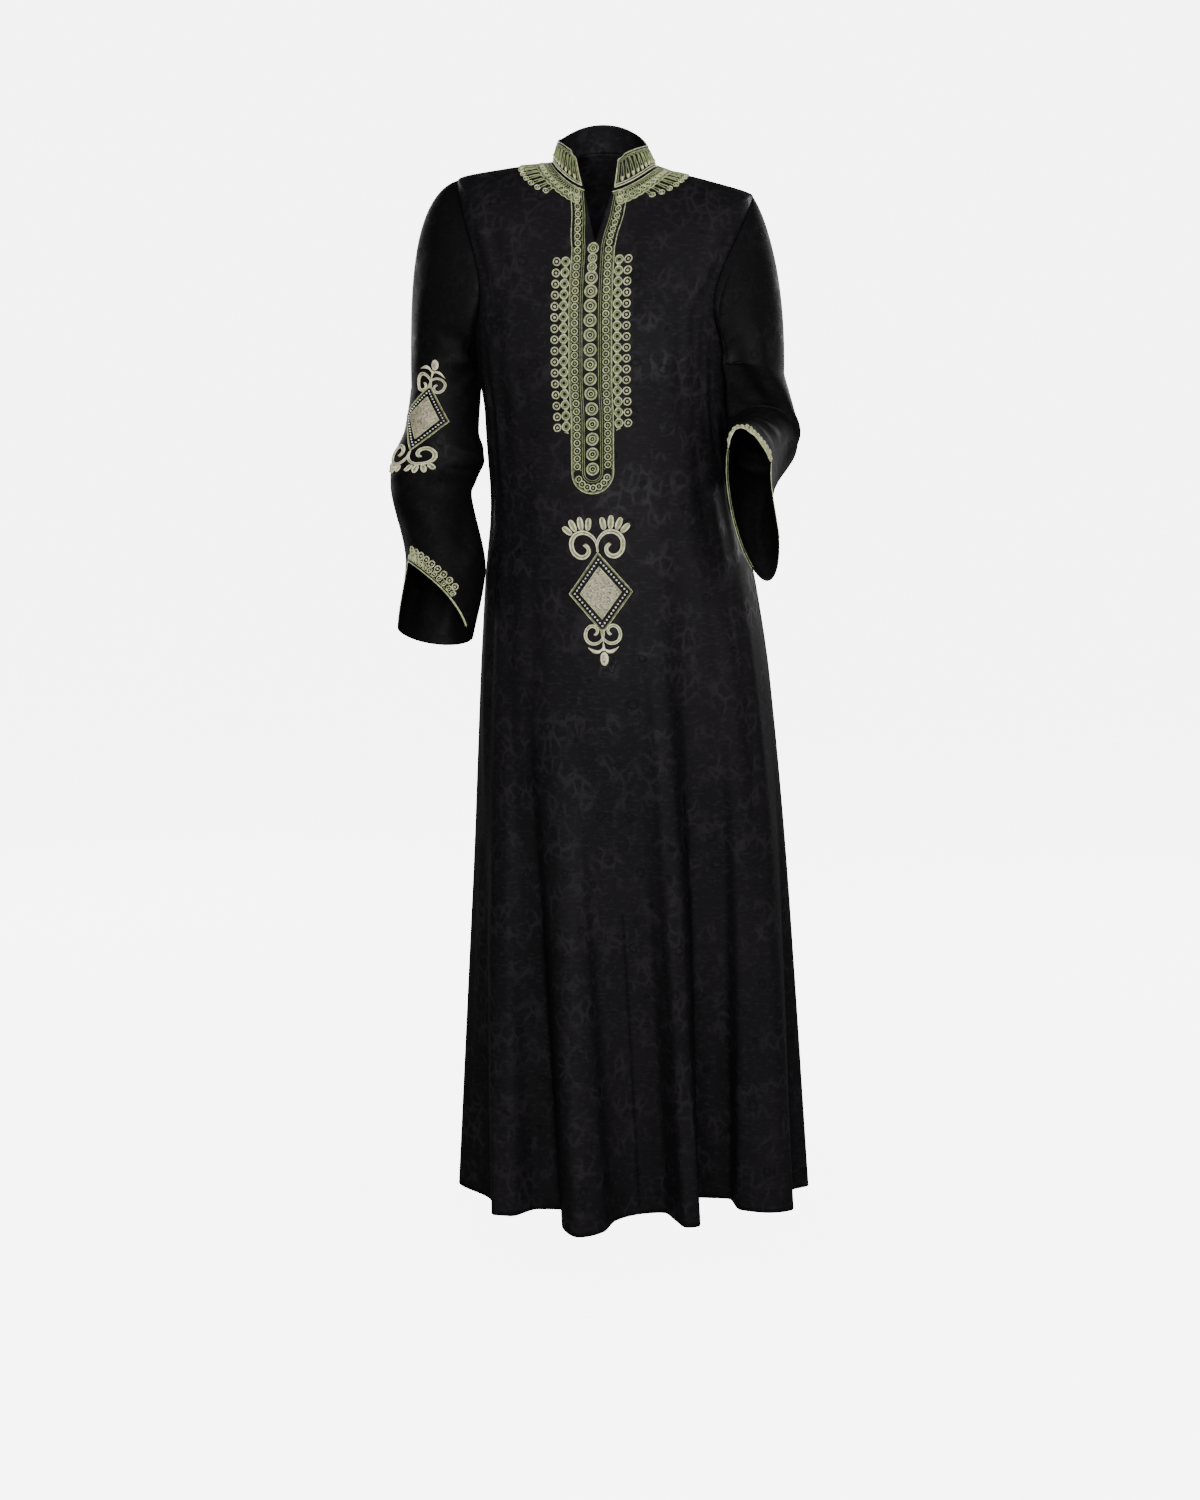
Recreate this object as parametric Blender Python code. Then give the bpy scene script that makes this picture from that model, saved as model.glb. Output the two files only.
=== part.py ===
"""Embroidered maxi dress in worn form: a stand collar over an open neck slit, set-in bell sleeves
with notched cuffs, and a flared skirt that falls in soft folds to the ankle.

The frame is the garment's own: +Z up, the wearer faces -Y, the wearer's left is +X, and the origin
is the middle of the neck seam, where the wearer holds the dress up.
Every cloth piece is a wall: its outer face is worked out from the tables below, and its inner face
lies CLOTH_THICKNESS inside it. Pieces part at their seams by twice SEAM_PULL.
"""

import math

import bpy
import numpy as np

# Driving dimensions, in metres and degrees. A level is the height of a section at the wearer's side.
CLOTH_THICKNESS = 0.0013
SEAM_PULL = 0.0002
HEM_LEVEL = -1.300
UNDERARM_LEVEL = -0.228
SHOULDER_TIP_LEVEL = -0.012
NECK_LEVEL = 0.015
SHOULDER_TILT = 0.058
SLIT_BOTTOM_Z = -0.078
SLIT_TOP_HALF_GAP = 0.0175
FRONT_ARMHOLE_DIP = 36.0
BACK_ARMHOLE_DIP = 30.0
COLLAR_FRONT_HEIGHT = 0.037
COLLAR_SIDE_HEIGHT = 0.028
COLLAR_BACK_HEIGHT = 0.034
COLLAR_LEAN = 0.010
COLLAR_SHIFT = -0.003
COLLAR_FRONT_SLOPE = 0.010
SLEEVE_CLEARANCE = 0.006
NOTCH_DEG = 36.0
NOTCH_START = 0.845
NOTCH_INNER_DEG = 160.0
NOTCH_OUTER_DEG = 8.0
NOTCH_INNER_CURVE = 0.85

# How the body and the sleeve caps blend.
TILT_START_LEVEL = -0.45
TILT_FULL_LEVEL = -0.10
ARMHOLE_ROUNDNESS = 0.75
LEAST_REACH = 0.2
CAP_FORWARD = 0.25
CAP_DROP = 0.62
CAP_DROP_CHANGE = 0.38
CAP_START_PULL = 0.75
CAP_END_PULL = 1.15
CLEARANCE_RUN = 0.06
COLLAR_LEAN_CURVE = 1.3
COLLAR_FRONT_START = 0.01
COLLAR_SLOPE_REACH = 0.03

# Sewn trims, in metres.
TRIM_GAP = 0.0009
SLEEVE_TRIM_GAP = 0.0011
FRONT_MOTIF_GAPS = {"diamond": 0.0009, "large": 0.0009, "small": 0.0009}
RIGHT_SLEEVE_MOTIF_GAPS = {"diamond": 0.0011, "large": 0.0012, "small": 0.0007}
LEFT_SLEEVE_MOTIF_GAPS = {"diamond": 0.0011, "large": 0.0009, "small": 0.0007}
TRIM_THICKNESS = 0.0009
MIDDLE_LINE_SHIFT = -0.0075
MIDDLE_SHIFT_START = 0.25
MIDDLE_SHIFT_END = 0.45
TRIM_SHIFT = -0.0025
TRIM_RISE_HIGH = 0.10
TRIM_RISE_LOW = 0.06
TRIM_RISE_START = 0.045
TRIM_RISE_FULL = 0.075
TRIM_RISE_CHANGE_START = 0.30
TRIM_RISE_CHANGE_END = 0.46
PLACKET_HALF_WIDTH = 0.0275
PLACKET_TOP_Z = -0.084
PLACKET_BOTTOM_Z = -0.387
PLACKET_FOOT_HALF_WIDTH = 0.004
BRAID_SPACE = 0.001
ARM_TOP_Z = -0.041
ARM_TOP_INNER_X = 0.0185
ARM_BOTTOM_INNER_X = 0.0100
ARM_WIDTH = 0.0160
WING_TOP_Z = -0.100
WING_BOTTOM_Z = -0.304
WING_OUTER_X = 0.0500
WING_SCALLOPS = 16
WING_SCALLOP_DEPTH = 0.0040
NECK_BAND_START_DEG = 20.0
NECK_BAND_DROP = 0.010
NECK_BAND_SIDE_SHARE = 0.34
NECK_BAND_MIDDLE_SHARE = 0.36
NECK_BAND_TOP_SHARE = 0.06
FRONT_MOTIF_Z = -0.494
MOTIF_HALF_WIDTH = 0.0390
MOTIF_HALF_HEIGHT = 0.0475
LARGE_SCROLL_X = 0.0190
LARGE_SCROLL_H = 0.0570
LARGE_SCROLL_RADIUS = 0.0150
SMALL_SCROLL_X = 0.0135
SMALL_SCROLL_H = 0.0520
SMALL_SCROLL_RADIUS = 0.0105
SCROLL_START_DEG = -100.0
SCROLL_TURN_DEG = 380.0
SCROLL_CLOSING = 0.62
SCROLL_CLOSING_CURVE = 0.8
SCROLL_WIDTHS = (0.34, 0.42, 0.16)
SCROLL_STEPS = 11
SLEEVE_RADIUS = 0.050
SLEEVE_LENGTH = 0.500
CUFF_BRAID_START_DEG = 2.0
CUFF_BRAID_END_DEG = 19.0
CUFF_BRAID_LEAD = 0.012
CUFF_BRAID_LAST_RUN = 0.995
RIGHT_SLEEVE_MOTIF = (0.486, 70.0)
LEFT_SLEEVE_MOTIF = (0.470, -68.0)
SLEEVE_MOTIF_TURN = 8.0
SLEEVE_MOTIF_LENGTH_SHARE = 0.92

# Grid counts of the cloth.
FRONT_HALF_COLUMNS = 20
BACK_COLUMNS = 26
SKIRT_ROWS = 14
ARMHOLE_ROWS = 10
SHOULDER_ROWS = 6
CUFF_ROWS = 4
COLLAR_ROWS = 2
SKIRT_ROW_GROWTH = 1.35
SLEEVE_RUNS = (0.0, 0.05, 0.13, 0.22, 0.31, 0.39, 0.45, 0.51, 0.56, 0.61, 0.67, 0.75)
HEM_SPACING_SHARE = 0.6
SHARED_NORMAL_LIKENESS = 0.7
LEAST_CORNER_SHARE = 0.7
CORNERS_A_METRE = 2e6
NORMAL_STEP = 5e-4
CHART_LEVELS = 1500
SPREAD_STEPS = 720
PLACKET_FOOT_ROWS = 5
PLACKET_ROWS = 16
SLIT_BRAID_ROWS = 5
NECK_BAND_COLUMNS = 36
DIAMOND_ROWS = 8
DIAMOND_COLUMNS = 6
DIAMOND_TIP_SHARE = 0.03
CUFF_BRAID_ROWS = 16

# Level sections of the body. lean is the middle's X, half_width is to each side, front and back
# are depths, front_z and back_z are the heights there, and square is the superellipse's exponent.
SECTION_COLUMNS = ("level", "front_z", "back_z", "lean", "half_width", "front", "back", "square")
SECTIONS = (
    (-1.300, -1.300, -1.300, 0.040, 0.226, 0.140, 0.200, 2.00),
    (-0.900, -0.900, -0.900, 0.038, 0.203, 0.140, 0.168, 2.05),
    (-0.620, -0.620, -0.620, 0.032, 0.184, 0.138, 0.144, 2.10),
    (-0.500, -0.500, -0.500, 0.026, 0.171, 0.1325, 0.130, 2.15),
    (-0.360, -0.360, -0.360, 0.015, 0.151, 0.1325, 0.108, 2.20),
    (-0.290, -0.292, -0.288, 0.010, 0.151, 0.1365, 0.106, 2.25),
    (-0.228, -0.238, -0.220, 0.006, 0.158, 0.1395, 0.108, 2.30),
    (-0.160, -0.178, -0.135, 0.006, 0.166, 0.130, 0.110, 2.35),
    (-0.090, -0.128, -0.070, 0.006, 0.177, 0.110, 0.103, 2.35),
    (-0.012, -0.078, -0.016, 0.006, 0.182, 0.087, 0.086, 2.20),
    (0.005, -0.046, 0.010, 0.006, 0.122, 0.072, 0.070, 2.05),
    (0.015, -0.017, 0.032, 0.006, 0.063, 0.060, 0.057, 2.00),
)

# The hem's ridges and troughs, going round. hip_deg is where the line leaves the hips (0 is the
# front middle, +90 the wearer's left side), x and y are its place at the hem, and start is the
# level where it begins.
HEM_COLUMNS = ("hip_deg", "x", "y", "start")
HEM_FOLDS = (
    (-88.0, -0.189, 0.000, -0.62),
    (-67.0, -0.134, -0.066, -0.62),
    (-57.0, -0.121, -0.118, -0.62),
    (-51.0, -0.098, -0.119, -0.60),
    (-44.0, -0.069, -0.090, -0.56),
    (-37.0, -0.039, -0.087, -0.56),
    (-30.0, -0.027, -0.150, -0.58),
    (-23.0, -0.003, -0.180, -0.60),
    (-14.0, 0.027, -0.157, -0.64),
    (-9.0, 0.036, -0.118, -0.68),
    (0.0, 0.065, -0.089, -0.68),
    (6.0, 0.094, -0.080, -0.60),
    (10.0, 0.111, -0.104, -0.50),
    (14.0, 0.128, -0.128, -0.44),
    (18.0, 0.145, -0.118, -0.42),
    (28.0, 0.131, -0.020, -0.42),
    (42.0, 0.171, -0.018, -0.48),
    (51.0, 0.190, -0.056, -0.56),
    (59.0, 0.222, -0.062, -0.60),
    (70.0, 0.258, -0.042, -0.62),
    (80.0, 0.250, 0.022, -0.62),
    (89.0, 0.272, 0.048, -0.62),
    (104.0, 0.232, 0.112, -0.64),
    (118.0, 0.196, 0.122, -0.64),
    (132.0, 0.168, 0.198, -0.60),
    (146.0, 0.122, 0.206, -0.60),
    (160.0, 0.088, 0.162, -0.62),
    (174.0, 0.046, 0.196, -0.60),
    (188.0, -0.002, 0.222, -0.60),
    (203.0, -0.038, 0.172, -0.62),
    (218.0, -0.080, 0.184, -0.62),
    (231.0, -0.120, 0.170, -0.60),
    (245.0, -0.126, 0.104, -0.62),
    (258.0, -0.168, 0.066, -0.62),
)
FOLD_GROWTH = 1.15

# Sections along each sleeve. run is the share of its length, out is away from the body, bend
# turns the arm from hanging (0) to forward (90), tilt leans the section, and roll turns the
# cloth round the arm.
SLEEVE_COLUMNS = ("run", "out", "y", "z", "bend", "tilt", "roll", "half_wide", "half_deep")
RIGHT_SLEEVE = (
    (0.40, 0.193, -0.006, -0.255, 3.0, 0.0, 0.0, 0.043, 0.057),
    (0.51, 0.198, -0.014, -0.308, 8.0, 0.0, 0.0, 0.046, 0.057),
    (0.59, 0.201, -0.022, -0.346, 12.0, 0.0, 0.0, 0.058, 0.054),
    (0.67, 0.208, -0.034, -0.376, 16.0, 0.0, 0.0, 0.051, 0.058),
    (0.84, 0.182, -0.078, -0.475, 22.0, 0.0, 0.0, 0.049, 0.064),
    (1.00, 0.189, -0.112, -0.549, 22.0, 0.0, 0.0, 0.046, 0.070),
)
LEFT_SLEEVE = (
    (0.40, 0.179, -0.014, -0.236, 14.0, 0.0, 0.0, 0.051, 0.056),
    (0.52, 0.193, -0.010, -0.282, 38.0, 0.0, -4.0, 0.050, 0.054),
    (0.62, 0.203, -0.014, -0.314, 60.0, 2.0, -12.0, 0.046, 0.048),
    (0.74, 0.197, -0.058, -0.333, 74.0, 6.0, -22.0, 0.035, 0.050),
    (0.87, 0.194, -0.106, -0.356, 80.0, 10.0, -30.0, 0.028, 0.068),
    (1.00, 0.2045, -0.152, -0.388, 86.0, 12.0, -36.0, 0.026, 0.090),
)
SHOULDER_FULLNESS = {-1: 1.0, 1: 0.15}


def column_of(table, columns, name):
    return np.array([row[columns.index(name)] for row in table], float)


def curve_through(xs, ys, at):
    """A smooth curve through the points (xs, ys), xs rising, with no overshoot between them."""
    xs, ys, at = np.asarray(xs, float), np.asarray(ys, float), np.asarray(at, float)
    step = np.diff(xs)
    slope = np.diff(ys) / step
    before, after = slope[:-1], slope[1:]
    same_way = before * after > 0
    tangent = np.zeros_like(ys)
    tangent[1:-1] = np.where(same_way, 2 * before * after / np.where(same_way, before + after, 1), 0)
    tangent[0], tangent[-1] = slope[0], slope[-1]
    k = np.clip(np.searchsorted(xs, at) - 1, 0, len(step) - 1)
    t = np.clip((at - xs[k]) / step[k], 0, 1)
    return (
        ys[k] * (1 + 2 * t) * (1 - t) ** 2
        + ys[k + 1] * t * t * (3 - 2 * t)
        + step[k] * (tangent[k] * t * (1 - t) ** 2 - tangent[k + 1] * t * t * (1 - t))
    )


def smooth(at, low, high):
    t = np.clip((np.asarray(at, float) - low) / (high - low), 0, 1)
    return t * t * (3 - 2 * t)


def unit(vectors):
    return vectors / np.maximum(np.linalg.norm(vectors, axis=-1, keepdims=True), 1e-12)


def section_value(name, level):
    levels = column_of(SECTIONS, SECTION_COLUMNS, "level")
    return curve_through(levels, column_of(SECTIONS, SECTION_COLUMNS, name), level)


def plain_body_point(degrees, level):
    """A point of the body's outer face with no folds."""
    angle = np.radians(degrees)
    across, along = np.sin(angle), np.cos(angle)
    power = 2 / section_value("square", level)
    x = section_value("lean", level)
    x = x + section_value("half_width", level) * np.sign(across) * np.abs(across) ** power
    depth = np.where(along > 0, -section_value("front", level), section_value("back", level))
    far_z = np.where(along > 0, section_value("front_z", level), section_value("back_z", level))
    return np.stack([x, depth * np.abs(along) ** power, level + (far_z - level) * along**2], -1)


def hem_value(name, degrees):
    """A column of the fold table at a bearing, carried round the circle."""
    hips = column_of(HEM_FOLDS, HEM_COLUMNS, "hip_deg")
    values = column_of(HEM_FOLDS, HEM_COLUMNS, name)
    around = np.concatenate([hips[-3:] - 360, hips, hips[:3] + 360])
    carried = np.concatenate([values[-3:], values, values[:3]])
    return curve_through(around, carried, (np.asarray(degrees, float) + 90) % 360 - 90)


def body_point(degrees, level):
    """A point of the dress's outer face: the plain section, its folds and the shoulders' tilt."""
    degrees, level = np.broadcast_arrays(np.asarray(degrees, float), np.asarray(level, float))
    point = plain_body_point(degrees, level)
    start = hem_value("start", degrees)
    share = np.clip((start - level) / (start - HEM_LEVEL), 0, 1) ** FOLD_GROWTH
    hem = plain_body_point(degrees, np.full_like(level, HEM_LEVEL))
    point[..., 0] += share * (hem_value("x", degrees) - hem[..., 0])
    point[..., 1] += share * (hem_value("y", degrees) - hem[..., 1])
    point[..., 2] -= SHOULDER_TILT * point[..., 0] * smooth(level, TILT_START_LEVEL, TILT_FULL_LEVEL)
    return point


def armhole_share(level):
    share = (level - UNDERARM_LEVEL) / (SHOULDER_TIP_LEVEL - UNDERARM_LEVEL)
    return np.sin(math.pi * np.clip(share, 0, 1)) ** ARMHOLE_ROUNDNESS


def slit_degrees(level):
    """Half the slit's opening at a level: zero at its foot, and widest at the neck seam."""
    top = section_value("front_z", np.asarray(NECK_LEVEL))
    share = (section_value("front_z", level) - SLIT_BOTTOM_Z) / (top - SLIT_BOTTOM_Z)
    gap = SLIT_TOP_HALF_GAP * np.clip(share, 0, 1) / section_value("half_width", level)
    return np.degrees(np.arcsin(gap ** (section_value("square", level) / 2)))


def grid_levels():
    """The panels' rows from the hem to the neck seam."""
    down = np.linspace(1, 0, SKIRT_ROWS + 1)[:-1] ** SKIRT_ROW_GROWTH
    skirt = UNDERARM_LEVEL + (HEM_LEVEL - UNDERARM_LEVEL) * down
    turn = np.linspace(0, math.pi, ARMHOLE_ROWS + 1)
    rise = (SHOULDER_TIP_LEVEL - UNDERARM_LEVEL) / 2
    armhole = UNDERARM_LEVEL + rise * (1 - np.cos(turn))
    shoulder = np.linspace(SHOULDER_TIP_LEVEL, NECK_LEVEL, SHOULDER_ROWS + 1)[1:]
    return np.concatenate([skirt, armhole, shoulder])


def spread_columns(low, high, count):
    """Bearings from low to high, closer together where the hem's folds are."""
    fine = np.linspace(low, high, SPREAD_STEPS + 1)
    hem = np.stack([hem_value("x", fine), hem_value("y", fine)], -1)
    length = np.concatenate([[0], np.cumsum(np.linalg.norm(np.diff(hem, axis=0), axis=1))])
    plain = (fine - low) / (high - low)
    mixed = HEM_SPACING_SHARE * length / length[-1] + (1 - HEM_SPACING_SHARE) * plain
    return np.interp(np.linspace(0, 1, count + 1), mixed, fine)


def sleeve_value(table, name, run):
    runs = column_of(table, SLEEVE_COLUMNS, "run")
    return curve_through(runs, column_of(table, SLEEVE_COLUMNS, name), run)


def sleeve_frame(table, side, run):
    """Centre, outward, forward and along directions of a sleeve's section."""
    centre = np.stack(
        [
            side * sleeve_value(table, "out", run),
            sleeve_value(table, "y", run),
            sleeve_value(table, "z", run),
        ],
        -1,
    )
    bend = np.radians(sleeve_value(table, "bend", run))
    zero = np.zeros_like(bend)
    outward = np.stack([zero + side, zero, zero], -1)
    forward = np.stack([zero, -np.cos(bend), np.sin(bend)], -1)
    along = np.stack([zero, -np.sin(bend), -np.cos(bend)], -1)
    tilt = np.radians(sleeve_value(table, "tilt", run))[..., None]
    leaned_out = np.cos(tilt) * outward + np.sin(tilt) * forward
    leaned_forward = np.cos(tilt) * forward - np.sin(tilt) * outward
    return centre, leaned_out, leaned_forward, along


def clear_of_body(points, gap):
    """Moves what lies inside the body's section, or closer to it than gap, out to that distance."""
    height = points[..., 2]
    level = height + SHOULDER_TILT * points[..., 0] * smooth(height, TILT_START_LEVEL, TILT_FULL_LEVEL)
    across = points[..., 0] - section_value("lean", level)
    wide = section_value("half_width", level) + gap
    ahead = points[..., 1] < 0
    deep = np.where(ahead, section_value("front", level), section_value("back", level)) + gap
    square = section_value("square", level)
    reach = (np.abs(across / wide) ** square + np.abs(points[..., 1] / deep) ** square) ** (1 / square)
    grow = np.where(reach < 1, 1 / np.maximum(reach, LEAST_REACH), 1)
    moved = points.copy()
    moved[..., 0] += across * (grow - 1)
    moved[..., 1] *= grow
    return moved


def armhole_point(side, around):
    """The armhole seam, with around in degrees: 0 the shoulder tip, 90 front, 180 underarm, 270 back."""
    level = (SHOULDER_TIP_LEVEL + UNDERARM_LEVEL) / 2
    level = level + (SHOULDER_TIP_LEVEL - UNDERARM_LEVEL) / 2 * np.cos(np.radians(around))
    in_front = np.asarray(around) % 360 <= 180
    dip = np.where(in_front, FRONT_ARMHOLE_DIP, -BACK_ARMHOLE_DIP) * armhole_share(level)
    return body_point(side * (90 - dip), level)


def sleeve_point(table, side, run, around):
    """A point of a sleeve's outer face: run from the armhole (0) to the hem (1)."""
    run, around = np.broadcast_arrays(np.asarray(run, float), np.asarray(around, float))
    first = table[0][0]
    at = np.maximum(run, first)
    centre, outward, forward, along = sleeve_frame(table, side, at)
    turned = np.radians(around + sleeve_value(table, "roll", at))
    wide = sleeve_value(table, "half_wide", at)[..., None]
    deep = sleeve_value(table, "half_deep", at)[..., None]
    across, ahead = np.cos(turned)[..., None], np.sin(turned)[..., None]
    ring = centre + wide * across * outward + deep * ahead * forward
    seam = armhole_point(side, around)
    t = np.clip(run / first, 0, 1)[..., None]
    span = np.linalg.norm(ring - seam, axis=-1, keepdims=True)
    lift = np.cos(np.radians(around))[..., None]
    leave = unit(
        outward * SHOULDER_FULLNESS[side] * (1 + lift) / 2
        + forward * CAP_FORWARD * np.sin(np.radians(around))[..., None]
        + np.array([0, 0, -1.0]) * (CAP_DROP - CAP_DROP_CHANGE * lift)
    )
    cap = (
        seam * (1 + 2 * t) * (1 - t) ** 2 + ring * t * t * (3 - 2 * t)
        + span * (CAP_START_PULL * leave * t * (1 - t) ** 2 - CAP_END_PULL * along * t * t * (1 - t))
    )
    point = np.where(t < 1, cap, ring)
    gap = SLEEVE_CLEARANCE * smooth(run, 0, CLEARANCE_RUN)
    cleared = clear_of_body(point, gap)
    return np.where(run[..., None] > 0, cleared, seam)


def notch_edges(run):
    """The cuff notch's inner and outer edges, in degrees round the sleeve."""
    share = np.clip((run - NOTCH_START) / (1 - NOTCH_START), 0, 1)
    inner = NOTCH_DEG + (NOTCH_INNER_DEG - NOTCH_DEG) * share**NOTCH_INNER_CURVE
    outer = NOTCH_DEG + (NOTCH_OUTER_DEG - NOTCH_DEG) * share
    return inner, outer


class Cloth:
    """Outer points and faces of every piece, welded where pieces share a seam."""

    def __init__(self):
        self.points = []
        self.index = {}
        self.pieces = {}

    def corner(self, point):
        key = tuple(int(round(value * CORNERS_A_METRE)) for value in point)
        if key not in self.index:
            self.index[key] = len(self.points)
            self.points.append(np.array(point, float))
        return self.index[key]

    def add_grid(self, name, grid):
        """Faces between a grid's rows, with outward normals to the right of rising rows."""
        corners = [[self.corner(point) for point in row] for row in grid]
        faces = self.pieces.setdefault(name, [])
        for low, high in zip(corners[:-1], corners[1:]):
            for k in range(len(low) - 1):
                faces.append((low[k], low[k + 1], high[k + 1], high[k]))

    def finish(self):
        self.points = np.array(self.points)
        self.normals = unit(sum(self.face_sums(name) for name in self.pieces))

    def face_sums(self, name):
        """The sum of one piece's face normals at every corner."""
        quads = np.array(self.pieces[name])
        corners = self.points[quads]
        normal = np.cross(corners[:, 2] - corners[:, 0], corners[:, 3] - corners[:, 1])
        sums = np.zeros_like(self.points)
        for k in range(4):
            np.add.at(sums, quads[:, k], normal)
        return sums

    def wall_normals(self, name):
        """Shared normals, or the piece's own where the seam folds sharply, as at the underarm."""
        own = unit(self.face_sums(name))
        alike = (own * self.normals).sum(axis=1) > SHARED_NORMAL_LIKENESS
        return np.where(alike[:, None], self.normals, own)

    def inward(self, name):
        """How each border corner of a piece moves so that its edge lies SEAM_PULL inside the seam."""
        faces = self.pieces[name]
        edges = {}
        for face in faces:
            middle = self.points[list(face)].mean(axis=0)
            for k in range(4):
                ends = (face[k], face[(k + 1) % 4])
                edges[ends] = middle
        moves = {}
        for (a, b), middle in edges.items():
            if (b, a) in edges:
                continue
            along = unit(self.points[b] - self.points[a])
            into = middle - self.points[a]
            into = unit(into - into.dot(along) * along)
            for corner in (a, b):
                moves.setdefault(corner, []).append(into)
        out = {}
        for corner, ways in moves.items():
            total = np.sum(ways, axis=0)
            share = max(1 + (ways[0].dot(ways[1]) if len(ways) == 2 else 1), LEAST_CORNER_SHARE)
            out[corner] = total / share * SEAM_PULL
        return out

    def wall(self, name, colour):
        """One closed wall: the outer face, the inner face CLOTH_THICKNESS inside it, and its edges."""
        faces = self.pieces[name]
        used = sorted({corner for face in faces for corner in face})
        local = {corner: k for k, corner in enumerate(used)}
        outer = self.points[used].copy()
        normals = self.wall_normals(name)[used]
        for corner, move in self.inward(name).items():
            outer[local[corner]] += move
        inner = outer - CLOTH_THICKNESS * normals
        return closed_shell(name, outer, inner, [[local[c] for c in face] for face in faces], colour)


def closed_shell(name, outer, inner, faces, colour):
    """A closed solid between two matching faces, as one smooth shaded object."""
    count = len(outer)
    edges = {(face[k], face[(k + 1) % len(face)]) for face in faces for k in range(len(face))}
    solid = [tuple(face) for face in faces]
    solid += [tuple(corner + count for corner in reversed(face)) for face in faces]
    for a, b in sorted(edges):
        if (b, a) not in edges:
            solid.append((b, a, a + count, b + count))
    mesh = bpy.data.meshes.new(name)
    mesh.from_pydata([tuple(point) for point in np.concatenate([outer, inner])], [], solid)
    mesh.polygons.foreach_set("use_smooth", [True] * len(mesh.polygons))
    mesh.update()
    thing = bpy.data.objects.new(name, mesh)
    bpy.context.scene.collection.objects.link(thing)
    thing.data.materials.append(plain_material(name, *colour))
    return thing


def plain_material(name, red, green, blue, roughness):
    material = bpy.data.materials.new(name)
    material.use_nodes = True
    shader = material.node_tree.nodes["Principled BSDF"]
    shader.inputs["Base Color"].default_value = (red, green, blue, 1)
    shader.inputs["Roughness"].default_value = roughness
    shader.inputs["Metallic"].default_value = 0.0
    return material


BLACK_CLOTH = (0.012, 0.011, 0.013, 0.55)
GREEN_THREAD = (0.21, 0.27, 0.09, 0.5)
SILVER_THREAD = (0.55, 0.50, 0.38, 0.45)


def build_front(cloth):
    """Front panel as two halves that share the middle column below the slit."""
    levels = grid_levels()
    for side in (-1, 1):
        spread = spread_columns(0, 90 * side, FRONT_HALF_COLUMNS)
        grid = []
        for level in levels:
            edge = 90 - FRONT_ARMHOLE_DIP * armhole_share(level)
            opening = slit_degrees(level)
            share = np.abs(spread) / 90
            degrees = side * (opening + share * (edge - opening))
            row = body_point(degrees, np.full_like(degrees, level))
            grid.append(row if side > 0 else row[::-1])
        cloth.add_grid("front_panel", grid)


def build_back(cloth):
    grid = []
    spread = spread_columns(90, 270, BACK_COLUMNS)
    for level in grid_levels():
        reach = 90 - BACK_ARMHOLE_DIP * armhole_share(level)
        degrees = 180 + (spread - 180) / 90 * reach
        row = body_point(degrees, np.full_like(degrees, level))
        row[-1] = body_point(degrees[-1] - 360, level)
        grid.append(row)
    cloth.add_grid("back_panel", grid)


def build_sleeve(cloth, name, table, side):
    """A sleeve from its armhole to its cuff, opened below the notch's top."""
    columns = np.linspace(0, 360, 2 * ARMHOLE_ROWS + 1)
    split = int(np.argmin(np.abs(columns - NOTCH_DEG)))
    turned = np.concatenate([columns[split:], columns[1 : split + 1] + 360])
    grid = []
    for run in np.concatenate([SLEEVE_RUNS, np.linspace(NOTCH_START, 1, CUFF_ROWS + 1)]):
        inner, outer = notch_edges(run)
        around = inner + (turned - columns[split]) * (360 - (inner - outer)) / 360
        row = sleeve_point(table, side, np.full_like(around, run), around)
        if run <= NOTCH_START:
            row[-1] = row[0]
        grid.append(row if side > 0 else row[::-1])
    cloth.add_grid(name, grid)


def collar_grid(neck):
    """Rows of the stand collar over the neck seam's points, leaning in as they rise."""
    centre = neck.mean(axis=0)
    length = np.concatenate([[0], np.cumsum(np.linalg.norm(np.diff(neck, axis=0), axis=1))])
    from_end = np.minimum(length, length[-1] - length)
    grid = []
    for share in np.linspace(0, 1, COLLAR_ROWS + 1):
        row = neck.copy()
        radial = unit((neck - centre) * np.array([1, 1, 0]))
        row -= radial * COLLAR_LEAN * share**COLLAR_LEAN_CURVE
        to_back = smooth(neck[:, 1], 0, neck[:, 1].max())
        to_front = smooth(-neck[:, 1], COLLAR_FRONT_START, -neck[:, 1].min())
        height = COLLAR_SIDE_HEIGHT + (COLLAR_BACK_HEIGHT - COLLAR_SIDE_HEIGHT) * to_back
        row[:, 2] += (height + (COLLAR_FRONT_HEIGHT - COLLAR_SIDE_HEIGHT) * to_front) * share
        row[:, 0] += COLLAR_SHIFT * share
        sideways = np.sign(neck[:, 0] - centre[0]) * COLLAR_FRONT_SLOPE * share
        row[:, 0] += sideways * smooth(COLLAR_SLOPE_REACH - from_end, 0, COLLAR_SLOPE_REACH)
        grid.append(row)
    return grid


def build_collar(cloth):
    levels = np.array(NECK_LEVEL)
    opening = slit_degrees(levels)
    halves = []
    for side in (-1, 1):
        share = np.abs(spread_columns(0, 90 * side, FRONT_HALF_COLUMNS)) / 90
        halves.append(side * (opening + share * (90 - opening)))
    back = spread_columns(90, 270, BACK_COLUMNS)
    back_row = body_point(back, np.full_like(back, NECK_LEVEL))
    back_row[-1] = body_point(-90.0, NECK_LEVEL)
    left = body_point(halves[1], np.full_like(halves[1], NECK_LEVEL))
    right = body_point(halves[0][::-1], np.full_like(halves[0], NECK_LEVEL))
    neck = np.concatenate([left, back_row[1:], right[1:]])
    cloth.add_grid("collar", collar_grid(neck))


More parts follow.
